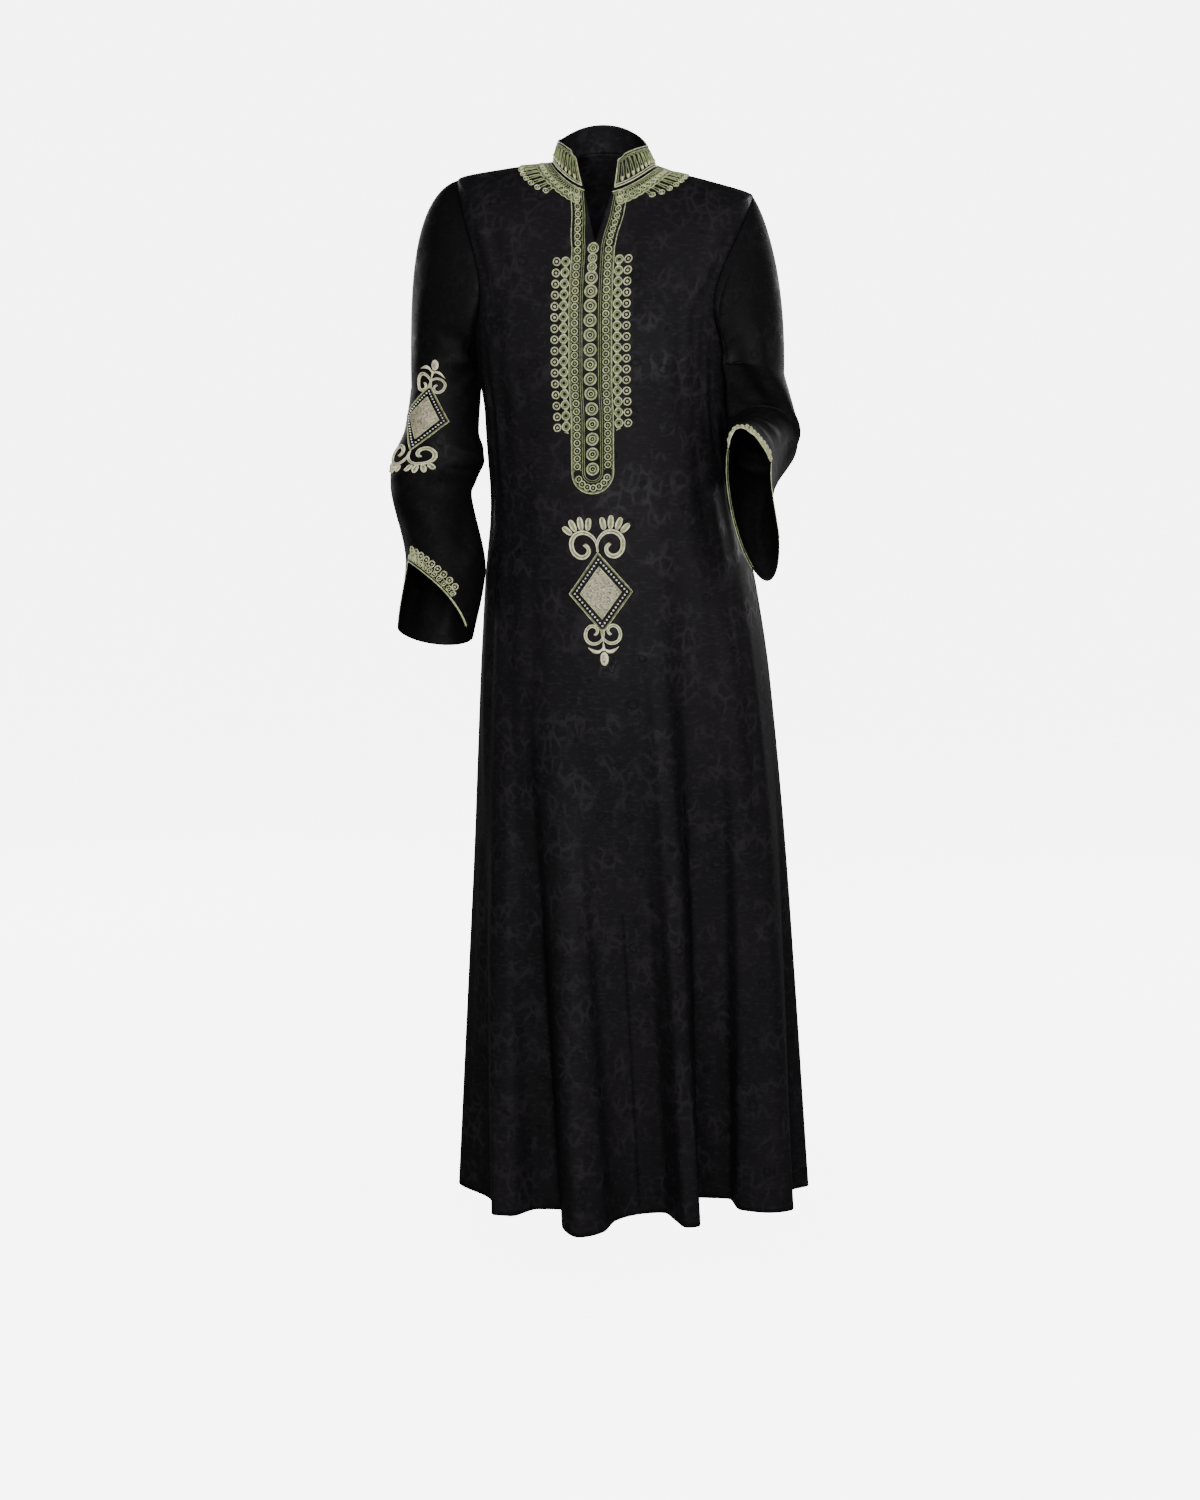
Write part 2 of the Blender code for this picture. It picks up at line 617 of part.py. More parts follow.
def front_chart(x, z):
    """Outer point of the front panel x metres from its middle line, where that line is at z.

    Rows of trim rise a little towards the wearer's left.
    """
    x, z = np.broadcast_arrays(np.asarray(x, float), np.asarray(z, float))
    levels = np.linspace(HEM_LEVEL, NECK_LEVEL, CHART_LEVELS)
    started = smooth(-z, TRIM_RISE_START, TRIM_RISE_FULL)
    lower = smooth(-z, TRIM_RISE_CHANGE_START, TRIM_RISE_CHANGE_END)
    rise = started * (TRIM_RISE_HIGH + (TRIM_RISE_LOW - TRIM_RISE_HIGH) * lower)
    level = np.interp(z + rise * x, section_value("front_z", levels), levels)
    offset = x + TRIM_SHIFT * started * (1 - lower)
    offset = offset + MIDDLE_LINE_SHIFT * smooth(-z, MIDDLE_SHIFT_START, MIDDLE_SHIFT_END)
    share = np.abs(offset) / section_value("half_width", level)
    degrees = np.degrees(np.arcsin(share ** (section_value("square", level) / 2)))
    return body_point(np.sign(offset) * degrees, level)


def front_chart_about(middle_z):
    """The front chart with its heights measured from middle_z."""
    return lambda x, h: front_chart(x, middle_z + np.asarray(h, float))


def sleeve_chart(table, side, middle, turn_degrees=0.0, length_share=1.0):
    """A chart of a sleeve about one of its points: x to a viewer's right, h towards the shoulder."""
    turn = math.radians(turn_degrees)
    def chart(x, h):
        x, h = np.broadcast_arrays(np.asarray(x, float), np.asarray(h, float))
        across = x * math.cos(turn) + h * math.sin(turn)
        along = length_share * (h * math.cos(turn) - x * math.sin(turn))
        around = middle[1] - side * np.degrees(across / SLEEVE_RADIUS)
        return sleeve_point(table, side, middle[0] - along / SLEEVE_LENGTH, around)

    return chart


def normals_of(chart, x, h):
    right = chart(x + NORMAL_STEP, h) - chart(x - NORMAL_STEP, h)
    up = chart(x, h + NORMAL_STEP) - chart(x, h - NORMAL_STEP)
    return unit(np.cross(right, up))


def applique(name, chart, x, h, colour, gap=TRIM_GAP):
    """A flat trim on a panel, from a grid of chart positions, lying gap off the cloth."""
    points, normals = chart(x, h), normals_of(chart, x, h)
    rows, columns = x.shape
    faces = [
        [r * columns + c, r * columns + c + 1, (r + 1) * columns + c + 1, (r + 1) * columns + c]
        for r in range(rows - 1)
        for c in range(columns - 1)
    ]
    points, normals = points.reshape(-1, 3), normals.reshape(-1, 3)
    low = points + gap * normals
    return closed_shell(name, low + TRIM_THICKNESS * normals, low, faces, colour)


def band_grid(heights, lows, highs, columns):
    """A grid of chart positions for a band with a low and a high x at each height."""
    share = np.linspace(0, 1, columns + 1)[None, :]
    lows, highs = np.asarray(lows, float)[:, None], np.asarray(highs, float)[:, None]
    x = lows + (highs - lows) * share
    return x, np.broadcast_to(np.asarray(heights, float)[:, None], x.shape)


def build_placket():
    """The braided band below the slit, its two arms beside the slit, and its scalloped wings."""
    turn = np.linspace(0, math.pi / 2, PLACKET_FOOT_ROWS + 1)
    foot_top = PLACKET_BOTTOM_Z + PLACKET_HALF_WIDTH
    heights = np.concatenate([
        foot_top - PLACKET_HALF_WIDTH * np.cos(turn),
        np.linspace(foot_top, PLACKET_TOP_Z, PLACKET_ROWS + 1)[1:],
    ])
    foot = np.maximum(PLACKET_HALF_WIDTH * np.sin(turn), PLACKET_FOOT_HALF_WIDTH)
    halves = np.concatenate([foot, np.full(PLACKET_ROWS, PLACKET_HALF_WIDTH)])
    applique("placket_braid", front_chart, *band_grid(heights, -halves, halves, 4), GREEN_THREAD)
    rising = np.linspace(0, 1, SLIT_BRAID_ROWS + 1)
    arm_z = PLACKET_TOP_Z + BRAID_SPACE + (ARM_TOP_Z - PLACKET_TOP_Z - BRAID_SPACE) * rising
    inner = ARM_BOTTOM_INNER_X + (ARM_TOP_INNER_X - ARM_BOTTOM_INNER_X) * rising
    for side, name in ((-1, "right"), (1, "left")):
        lows, highs = (inner, inner + ARM_WIDTH)
        edges = (lows, highs) if side > 0 else (-highs, -lows)
        applique(f"slit_braid_{name}", front_chart, *band_grid(arm_z, *edges, 2), GREEN_THREAD)
        steps = np.linspace(0, WING_SCALLOPS, 2 * WING_SCALLOPS + 1)
        wing_z = WING_TOP_Z + (WING_BOTTOM_Z - WING_TOP_Z) * (1 - steps / WING_SCALLOPS)
        reach = WING_OUTER_X - WING_SCALLOP_DEPTH * (1 - np.abs(np.sin(math.pi * steps)))
        near = np.full_like(reach, PLACKET_HALF_WIDTH + BRAID_SPACE)
        edges = (near, reach) if side > 0 else (-reach, -near)
        applique(f"placket_wing_{name}", front_chart, *band_grid(wing_z, *edges, 1), GREEN_THREAD)


def neck_chart(around, down):
    """Outer point a share down the neck band, with around as a bearing in degrees."""
    share = NECK_BAND_SIDE_SHARE + NECK_BAND_MIDDLE_SHARE * np.cos(np.radians(around)) ** 2
    return body_point(around, NECK_LEVEL - NECK_BAND_DROP * share * down)


def build_neck_band():
    """The embroidered band round the neck seam, from slit edge to slit edge."""
    around = np.linspace(NECK_BAND_START_DEG, 360 - NECK_BAND_START_DEG, NECK_BAND_COLUMNS + 1)[None, :]
    down = np.linspace(1, NECK_BAND_TOP_SHARE, 3)[:, None]
    around, down = np.broadcast_arrays(around, down)
    wrapped = (around + 90) % 360 - 90
    points = neck_chart(wrapped, down)
    along = neck_chart(wrapped + 0.5, down) - neck_chart(wrapped - 0.5, down)
    up = neck_chart(wrapped, down - 0.02) - neck_chart(wrapped, down + 0.02)
    normals = unit(np.cross(along, up)).reshape(-1, 3)
    rows, columns = around.shape
    faces = [
        [r * columns + c, r * columns + c + 1, (r + 1) * columns + c + 1, (r + 1) * columns + c]
        for r in range(rows - 1)
        for c in range(columns - 1)
    ]
    low = points.reshape(-1, 3) + TRIM_GAP * normals
    closed_shell("neck_band", low + TRIM_THICKNESS * normals, low, faces, GREEN_THREAD)


def scroll_grid(middle_x, middle_h, radius, hand, up):
    """A curled band about one point. hand is +1 or -1, and up is +1, or -1 for one that hangs."""
    share = np.linspace(0, 1, SCROLL_STEPS + 1)
    turn = np.radians(SCROLL_START_DEG + SCROLL_TURN_DEG * share)
    reach = radius * (1 - SCROLL_CLOSING * share**SCROLL_CLOSING_CURVE)
    width = radius * np.interp(share, (0, 0.5, 1), SCROLL_WIDTHS)
    radii = np.stack([reach - width / 2, reach + width / 2], 1)
    x = middle_x + hand * radii * np.sin(turn)[:, None]
    h = middle_h + up * radii * np.cos(turn)[:, None]
    return (x, h) if hand * up < 0 else (x[:, ::-1], h[:, ::-1])


def build_motif(prefix, chart, up, gaps):
    """A diamond between two pairs of scrolls. up is +1 with the large pair above it, or -1."""
    rows = np.linspace(-1, 1, DIAMOND_ROWS + 1)
    half = MOTIF_HALF_WIDTH * np.maximum(1 - np.abs(rows), DIAMOND_TIP_SHARE)
    x, h = band_grid(MOTIF_HALF_HEIGHT * rows, -half, half, DIAMOND_COLUMNS)
    applique(f"{prefix}_diamond", chart, x, h, SILVER_THREAD, gaps["diamond"])
    pairs = (
        ("large", LARGE_SCROLL_X, LARGE_SCROLL_H, LARGE_SCROLL_RADIUS, 1),
        ("small", SMALL_SCROLL_X, -SMALL_SCROLL_H, SMALL_SCROLL_RADIUS, -1),
    )
    for label, across, along, radius, way in pairs:
        for side, name in ((-1, "right"), (1, "left")):
            grid = scroll_grid(side * across, up * along, radius, side, up * way)
            applique(f"{prefix}_{label}_scroll_{name}", chart, *grid, SILVER_THREAD, gaps[label])


def build_cuff_braid(name, table, side):
    """The scalloped braid that follows the inner edge of a cuff's notch."""
    runs = np.linspace(NOTCH_START - CUFF_BRAID_LEAD, CUFF_BRAID_LAST_RUN, CUFF_BRAID_ROWS + 1)
    share = np.linspace(0, 1, 3)[None, :]
    inner = notch_edges(runs)[0][:, None]
    around = inner + CUFF_BRAID_START_DEG + (CUFF_BRAID_END_DEG - CUFF_BRAID_START_DEG) * share
    x = -side * np.radians(around) * SLEEVE_RADIUS
    h = np.broadcast_to(-runs[:, None] * SLEEVE_LENGTH, x.shape)
    grid = (x[::-1], h[::-1]) if side < 0 else (x[::-1, ::-1], h[::-1, ::-1])
    applique(name, sleeve_chart(table, side, (0.0, 0.0)), *grid, GREEN_THREAD, SLEEVE_TRIM_GAP)


def clear_scene():
    for thing in list(bpy.data.objects):
        bpy.data.objects.remove(thing, do_unlink=True)


def main():
    clear_scene()
    cloth = Cloth()
    build_front(cloth)
    build_back(cloth)
    build_sleeve(cloth, "sleeve_right", RIGHT_SLEEVE, -1)
    build_sleeve(cloth, "sleeve_left", LEFT_SLEEVE, 1)
    build_collar(cloth)
    cloth.finish()
    for name in ("front_panel", "back_panel", "sleeve_right", "sleeve_left", "collar"):
        cloth.wall(name, BLACK_CLOTH)
    build_placket()
    build_neck_band()
    build_motif("front_motif", front_chart_about(FRONT_MOTIF_Z), 1, FRONT_MOTIF_GAPS)
    for side, name, table, middle, gaps in (
        (-1, "right", RIGHT_SLEEVE, RIGHT_SLEEVE_MOTIF, RIGHT_SLEEVE_MOTIF_GAPS),
        (1, "left", LEFT_SLEEVE, LEFT_SLEEVE_MOTIF, LEFT_SLEEVE_MOTIF_GAPS),
    ):
        chart = sleeve_chart(table, side, middle, -side * SLEEVE_MOTIF_TURN, SLEEVE_MOTIF_LENGTH_SHARE)
        build_motif(f"{name}_sleeve_motif", chart, -1, gaps)
    build_cuff_braid("cuff_braid_right", RIGHT_SLEEVE, -1)
    build_cuff_braid("cuff_braid_left", LEFT_SLEEVE, 1)


main()
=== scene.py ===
"""Embroidered maxi dress: the looks of every piece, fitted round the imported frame.

Lengths are in metres. +Z is up, the wearer faces -Y and the wearer's left is +X.
"""

import math
import bpy
import numpy as np
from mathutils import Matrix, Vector


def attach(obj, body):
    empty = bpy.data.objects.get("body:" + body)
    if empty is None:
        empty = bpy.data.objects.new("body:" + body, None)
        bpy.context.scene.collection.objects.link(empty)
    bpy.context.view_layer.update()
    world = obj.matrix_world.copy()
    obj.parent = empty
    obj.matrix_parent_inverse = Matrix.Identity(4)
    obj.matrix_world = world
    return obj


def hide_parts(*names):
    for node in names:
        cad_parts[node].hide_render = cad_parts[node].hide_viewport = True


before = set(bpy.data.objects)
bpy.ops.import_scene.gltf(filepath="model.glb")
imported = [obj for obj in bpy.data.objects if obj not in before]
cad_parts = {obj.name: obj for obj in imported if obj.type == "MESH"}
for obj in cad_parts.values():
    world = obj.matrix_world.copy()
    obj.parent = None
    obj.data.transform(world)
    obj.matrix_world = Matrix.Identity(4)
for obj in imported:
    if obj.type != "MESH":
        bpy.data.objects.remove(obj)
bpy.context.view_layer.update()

# Camera, at the photograph's angle.
CAMERA_AZIMUTH = 8.0
CAMERA_PITCH = 10.5
CAMERA_DISTANCE = 3.2
CAMERA_Z = -0.12
CAMERA_LENS = 61.2
CAMERA_SENSOR = 36.0
CAMERA_CLIP_END = 200.0

# Light: each lamp's name, place, size and power. The floor's walls are FLOOR_HALF from the middle.
FLOOR_HALF = 50.0
FLOOR_Z = -1.500
WALL_TOP_Z = 60.0
FLOOR_GLOW = 6.2
WORLD_STRENGTH = 0.11
LIGHT_AIM = Vector((0.0, 0.0, -0.35))
LIGHTS = (
    ("key", (0.20, -2.6, 0.20), 1.1, 84.0),
    ("fill", (2.3, -2.2, 0.1), 1.4, 34.0),
    ("back_left", (2.0, 2.6, 0.4), 1.6, 60.0),
    ("back_right", (-2.0, 2.6, 0.4), 1.6, 60.0),
)

# Driving dimensions of the dress, as in the solids.
CLOTH_THICKNESS = 0.0013
HEM_LEVEL = -1.300
UNDERARM_LEVEL = -0.228
SHOULDER_TIP_LEVEL = -0.012
NECK_LEVEL = 0.015
SHOULDER_TILT = 0.058
SLIT_BOTTOM_Z = -0.078
SLIT_TOP_HALF_GAP = 0.0175
FRONT_ARMHOLE_DIP = 36.0
BACK_ARMHOLE_DIP = 30.0
COLLAR_FRONT_HEIGHT = 0.037
COLLAR_SIDE_HEIGHT = 0.028
COLLAR_BACK_HEIGHT = 0.034
COLLAR_LEAN = 0.010
COLLAR_SHIFT = -0.003
COLLAR_FRONT_SLOPE = 0.010
SLEEVE_CLEARANCE = 0.006
NOTCH_DEG = 36.0
NOTCH_START = 0.845
NOTCH_INNER_DEG = 160.0
NOTCH_OUTER_DEG = 8.0
NOTCH_INNER_CURVE = 0.85
TILT_START_LEVEL = -0.45
TILT_FULL_LEVEL = -0.10
ARMHOLE_ROUNDNESS = 0.75
LEAST_REACH = 0.2
CAP_FORWARD = 0.25
CAP_DROP = 0.62
CAP_DROP_CHANGE = 0.38
CAP_START_PULL = 0.75
CAP_END_PULL = 1.15
CLEARANCE_RUN = 0.06
COLLAR_LEAN_CURVE = 1.3
COLLAR_FRONT_START = 0.01
COLLAR_SLOPE_REACH = 0.03

# How the front's thread work lies on the panel: its shifts to the side and its rise across, with the
# distances below the origin between which each of them comes in.
MIDDLE_LINE_SHIFT = -0.0075
MIDDLE_SHIFT_START = 0.25
MIDDLE_SHIFT_END = 0.45
TRIM_SHIFT = -0.0025
TRIM_RISE_HIGH = 0.10
TRIM_RISE_LOW = 0.06
TRIM_RISE_START = 0.045
TRIM_RISE_FULL = 0.075
TRIM_RISE_CHANGE_START = 0.30
TRIM_RISE_CHANGE_END = 0.46
BULGE_SHIFT = 0.0034
BULGE_START = 0.11
BULGE_MIDDLE = 0.24
BULGE_END = 0.37

# Sleeves' charts: a mean radius and length, and each motif's middle as (run, around).
SLEEVE_RADIUS = 0.050
SLEEVE_LENGTH = 0.500
RIGHT_SLEEVE_MOTIF = (0.486, 70.0)
LEFT_SLEEVE_MOTIF = (0.470, -68.0)
SLEEVE_MOTIF_TURN = 8.0
SLEEVE_MOTIF_LENGTH_SHARE = 0.92

SECTION_COLUMNS = ("level", "front_z", "back_z", "lean", "half_width", "front", "back", "square")
SECTIONS = (
    (-1.300, -1.300, -1.300, 0.040, 0.226, 0.140, 0.200, 2.00),
    (-0.900, -0.900, -0.900, 0.038, 0.203, 0.140, 0.168, 2.05),
    (-0.620, -0.620, -0.620, 0.032, 0.184, 0.138, 0.144, 2.10),
    (-0.500, -0.500, -0.500, 0.026, 0.171, 0.1325, 0.130, 2.15),
    (-0.360, -0.360, -0.360, 0.015, 0.151, 0.1325, 0.108, 2.20),
    (-0.290, -0.292, -0.288, 0.010, 0.151, 0.1365, 0.106, 2.25),
    (-0.228, -0.238, -0.220, 0.006, 0.158, 0.1395, 0.108, 2.30),
    (-0.160, -0.178, -0.135, 0.006, 0.166, 0.130, 0.110, 2.35),
    (-0.090, -0.128, -0.070, 0.006, 0.177, 0.110, 0.103, 2.35),
    (-0.012, -0.078, -0.016, 0.006, 0.182, 0.087, 0.086, 2.20),
    (0.005, -0.046, 0.010, 0.006, 0.122, 0.072, 0.070, 2.05),
    (0.015, -0.017, 0.032, 0.006, 0.063, 0.060, 0.057, 2.00),
)
HEM_COLUMNS = ("hip_deg", "x", "y", "start")
HEM_FOLDS = (
    (-88.0, -0.189, 0.000, -0.62),
    (-67.0, -0.134, -0.066, -0.62),
    (-57.0, -0.121, -0.118, -0.62),
    (-51.0, -0.098, -0.119, -0.60),
    (-44.0, -0.069, -0.090, -0.56),
    (-37.0, -0.039, -0.087, -0.56),
    (-30.0, -0.027, -0.150, -0.58),
    (-23.0, -0.003, -0.180, -0.60),
    (-14.0, 0.027, -0.157, -0.64),
    (-9.0, 0.036, -0.118, -0.68),
    (0.0, 0.065, -0.089, -0.68),
    (6.0, 0.094, -0.080, -0.60),
    (10.0, 0.111, -0.104, -0.50),
    (14.0, 0.128, -0.128, -0.44),
    (18.0, 0.145, -0.118, -0.42),
    (28.0, 0.131, -0.020, -0.42),
    (42.0, 0.171, -0.018, -0.48),
    (51.0, 0.190, -0.056, -0.56),
    (59.0, 0.222, -0.062, -0.60),
    (70.0, 0.258, -0.042, -0.62),
    (80.0, 0.250, 0.022, -0.62),
    (89.0, 0.272, 0.048, -0.62),
    (104.0, 0.232, 0.112, -0.64),
    (118.0, 0.196, 0.122, -0.64),
    (132.0, 0.168, 0.198, -0.60),
    (146.0, 0.122, 0.206, -0.60),
    (160.0, 0.088, 0.162, -0.62),
    (174.0, 0.046, 0.196, -0.60),
    (188.0, -0.002, 0.222, -0.60),
    (203.0, -0.038, 0.172, -0.62),
    (218.0, -0.080, 0.184, -0.62),
    (231.0, -0.120, 0.170, -0.60),
    (245.0, -0.126, 0.104, -0.62),
    (258.0, -0.168, 0.066, -0.62),
)
FOLD_GROWTH = 1.15
SLEEVE_COLUMNS = ("run", "out", "y", "z", "bend", "tilt", "roll", "half_wide", "half_deep")
RIGHT_SLEEVE = (
    (0.40, 0.193, -0.006, -0.255, 3.0, 0.0, 0.0, 0.043, 0.057),
    (0.51, 0.198, -0.014, -0.308, 8.0, 0.0, 0.0, 0.046, 0.057),
    (0.59, 0.201, -0.022, -0.346, 12.0, 0.0, 0.0, 0.058, 0.054),
    (0.67, 0.208, -0.034, -0.376, 16.0, 0.0, 0.0, 0.051, 0.058),
    (0.84, 0.182, -0.078, -0.475, 22.0, 0.0, 0.0, 0.049, 0.064),
    (1.00, 0.189, -0.112, -0.549, 22.0, 0.0, 0.0, 0.046, 0.070),
)
LEFT_SLEEVE = (
    (0.40, 0.179, -0.014, -0.236, 14.0, 0.0, 0.0, 0.051, 0.056),
    (0.52, 0.193, -0.010, -0.282, 38.0, 0.0, -4.0, 0.050, 0.054),
    (0.62, 0.203, -0.014, -0.314, 60.0, 2.0, -12.0, 0.046, 0.048),
    (0.74, 0.197, -0.058, -0.333, 74.0, 6.0, -22.0, 0.035, 0.050),
    (0.87, 0.194, -0.106, -0.356, 80.0, 10.0, -30.0, 0.028, 0.068),
    (1.00, 0.2045, -0.152, -0.388, 86.0, 12.0, -36.0, 0.026, 0.090),
)
SHOULDER_FULLNESS = {-1: 1.0, 1: 0.15}

# Creases: three places of a curved line (bearing and level on the body, run and around on a
# sleeve), half width and height of the ridge in millimetres (negative for a valley), and lean, the
# side of the line with a hollow beside it, or 0 for none.
BODY_CREASES = (
    (38, -0.120, 42, -0.200, 47, -0.300, 7, 2.6, 1),
    (45, -0.130, 49, -0.220, 54, -0.320, 6, 2.4, 1),
    (52, -0.165, 57, -0.250, 61, -0.350, 7, 2.6, 1),
    (31, -0.130, 33, -0.210, 36, -0.310, 10, 1.8, 1),
    (41, -0.280, 43, -0.350, 43, -0.440, 9, 1.8, 1),
    (57, -0.330, 58, -0.400, 56, -0.500, 10, 2, -1),
    (67, -0.270, 70, -0.350, 69, -0.470, 8, 2.2, 1),
    (77, -0.250, 78, -0.340, 77, -0.450, 7, -1.8, 1),
    (-34, -0.140, -38, -0.250, -41, -0.380, 10, 1.9, -1),
    (-47, -0.170, -52, -0.270, -54, -0.410, 8, 2.3, -1),
    (-60, -0.210, -63, -0.300, -62, -0.430, 8, 2, -1),
    (-72, -0.240, -73, -0.330, -71, -0.460, 7, 2, 1),
    (-81, -0.250, -80, -0.330, -78, -0.400, 6, -1.8, 1),
    (55, -0.020, 49, -0.075, 39, -0.130, 12, 1.9, -1),
    (66, -0.035, 57, -0.100, 50, -0.150, 9, 1.8, -1),
    (38, -0.016, 34, -0.060, 27, -0.110, 12, 1.3, 1),
    (-53, -0.022, -47, -0.080, -38, -0.140, 12, 1.8, 1),
    (-64, -0.040, -56, -0.110, -48, -0.165, 9, 1.7, 1),
    (-36, -0.014, -32, -0.060, -26, -0.105, 11, 1.3, -1),
    (-27, -0.330, -26, -0.450, -24, -0.640, 15, 1.8, -1),
    (-36, -0.400, -38, -0.520, -40, -0.700, 13, 2.2, 1),
    (-52, -0.420, -54, -0.560, -55, -0.760, 12, 2, -1),
    (-68, -0.440, -68, -0.600, -67, -0.850, 12, 2.2, 1),
    (22, -0.340, 24, -0.460, 27, -0.620, 14, 2, 1),
    (37, -0.420, 39, -0.540, 41, -0.740, 12, 2.2, -1),
    (52, -0.460, 53, -0.600, 55, -0.820, 13, 2, 1),
    (66, -0.480, 67, -0.640, 68, -0.880, 12, 2.2, -1),
    (-18, -0.780, -18, -0.950, -17, -1.200, 12, 1.8, 1),
    (-27, -0.850, -27, -1.050, -27, -1.290, 8, 1.6, -1),
    (-62, -0.900, -62, -1.080, -61, -1.290, 9, 1.8, 1),
    (-74, -0.800, -74, -1.000, -75, -1.270, 11, 2, -1),
    (3, -0.900, 3, -1.090, 3, -1.290, 9, 2.2, 1),
    (22, -0.780, 22, -0.960, 22, -1.230, 8, 1.8, -1),
    (36, -0.820, 36, -1.010, 36, -1.280, 9, 2, 1),
    (64, -0.880, 64, -1.080, 64, -1.290, 10, 2, -1),
    (76, -0.760, 76, -0.980, 76, -1.250, 10, 1.8, 1),
    (150, -0.035, 154, -0.120, 163, -0.210, 12, 2, -1),
    (136, -0.060, 143, -0.150, 152, -0.230, 9, 1.8, -1),
    (211, -0.030, 206, -0.130, 196, -0.220, 12, 2.1, 1),
    (226, -0.070, 219, -0.160, 209, -0.250, 9, 1.8, 1),
    (172, -0.060, 174, -0.200, 175, -0.360, 12, 1.5, 1),
    (187, -0.050, 186, -0.190, 184, -0.340, 13, -1.5, 1),
    (122, -0.170, 126, -0.270, 128, -0.400, 9, 2.4, 1),
    (136, -0.200, 140, -0.310, 141, -0.450, 10, 2.2, -1),
    (108, -0.240, 109, -0.330, 108, -0.450, 8, 2, 1),
    (98, -0.260, 98, -0.350, 99, -0.470, 7, -1.8, 1),
    (233, -0.180, 230, -0.280, 229, -0.410, 9, 2.4, -1),
    (219, -0.210, 216, -0.310, 215, -0.440, 10, 2.1, 1),
    (249, -0.230, 248, -0.330, 250, -0.460, 8, 2.1, -1),
    (261, -0.260, 261, -0.340, 260, -0.440, 7, -1.6, 1),
    (152, -0.345, 170, -0.385, 196, -0.372, 11, 2, 1),
    (160, -0.395, 184, -0.425, 209, -0.385, 10, 1.8, 1),
    (158, -0.430, 158, -0.560, 157, -0.780, 14, 2.2, -1),
    (176, -0.440, 176, -0.580, 176, -0.820, 14, -2, 1),
    (196, -0.420, 197, -0.560, 198, -0.760, 14, 2.3, 1),
    (124, -0.430, 125, -0.580, 126, -0.830, 12, 2.1, 1),
    (110, -0.480, 110, -0.640, 110, -0.870, 12, 1.9, -1),
    (230, -0.440, 229, -0.590, 228, -0.800, 12, 2.2, -1),
    (247, -0.480, 247, -0.640, 247, -0.880, 12, 1.9, 1),
    (140, -0.860, 140, -1.040, 140, -1.280, 10, 2, 1),
    (167, -0.820, 167, -1.010, 167, -1.270, 11, 2, -1),
    (192, -0.880, 192, -1.070, 192, -1.290, 9, 1.9, 1),
    (212, -0.800, 212, -0.990, 212, -1.260, 11, 2.1, -1),
    (238, -0.860, 238, -1.050, 238, -1.280, 10, 2, 1),
)
RIGHT_SLEEVE_CREASES = (
    (0.050, 166, 0.170, 122, 0.270, 84, 10, -5, 0),
    (0.030, 181, 0.200, 146, 0.330, 104, 8.5, 3.6, 1),
    (0.110, 176, 0.280, 160, 0.430, 128, 8, 2.4, 1),
    (0.060, 62, 0.230, 52, 0.370, 44, 14, 2, 1),
    (0.080, 20, 0.240, 14, 0.440, 8, 14, 1.8, -1),
    (0.580, 176, 0.585, 142, 0.560, 106, 8, 3.4, 1),
    (0.625, 178, 0.645, 144, 0.635, 104, 8, -4, 0),
    (0.670, 172, 0.695, 134, 0.690, 96, 9.5, 3.4, 1),
    (0.715, 166, 0.755, 140, 0.800, 116, 10, -3.4, 0),
    (0.745, 172, 0.800, 150, 0.880, 132, 9, 2.8, 1),
    (0.640, 14, 0.665, 46, 0.655, 82, 9, 2, -1),
    (0.700, 24, 0.730, 58, 0.740, 92, 10, 2.2, 1),
    (0.770, 34, 0.810, 62, 0.845, 74, 9, 1.8, -1),
    (0.780, -10, 0.870, -4, 0.980, -8, 12, 2.2, 1),
    (0.800, -48, 0.890, -50, 0.990, -44, 13, 2.6, -1),
    (0.720, -86, 0.840, -92, 0.980, -88, 14, 2.8, 1),
    (0.760, -134, 0.870, -130, 0.985, -134, 12, 2.4, -1),
    (0.090, -58, 0.240, -72, 0.400, -84, 13, 2.2, -1),
    (0.050, -150, 0.180, -126, 0.300, -100, 10, -3.6, 0),
    (0.080, -172, 0.240, -150, 0.360, -124, 9, 3, -1),
    (0.540, -176, 0.560, -140, 0.530, -96, 9, 3, 1),
    (0.600, -174, 0.605, -130, 0.585, -84, 9, -3.6, 0),
    (0.650, -176, 0.660, -132, 0.650, -84, 10, 3.2, 1),
    (0.300, -30, 0.420, -36, 0.560, -34, 12, 1.8, 1),
)
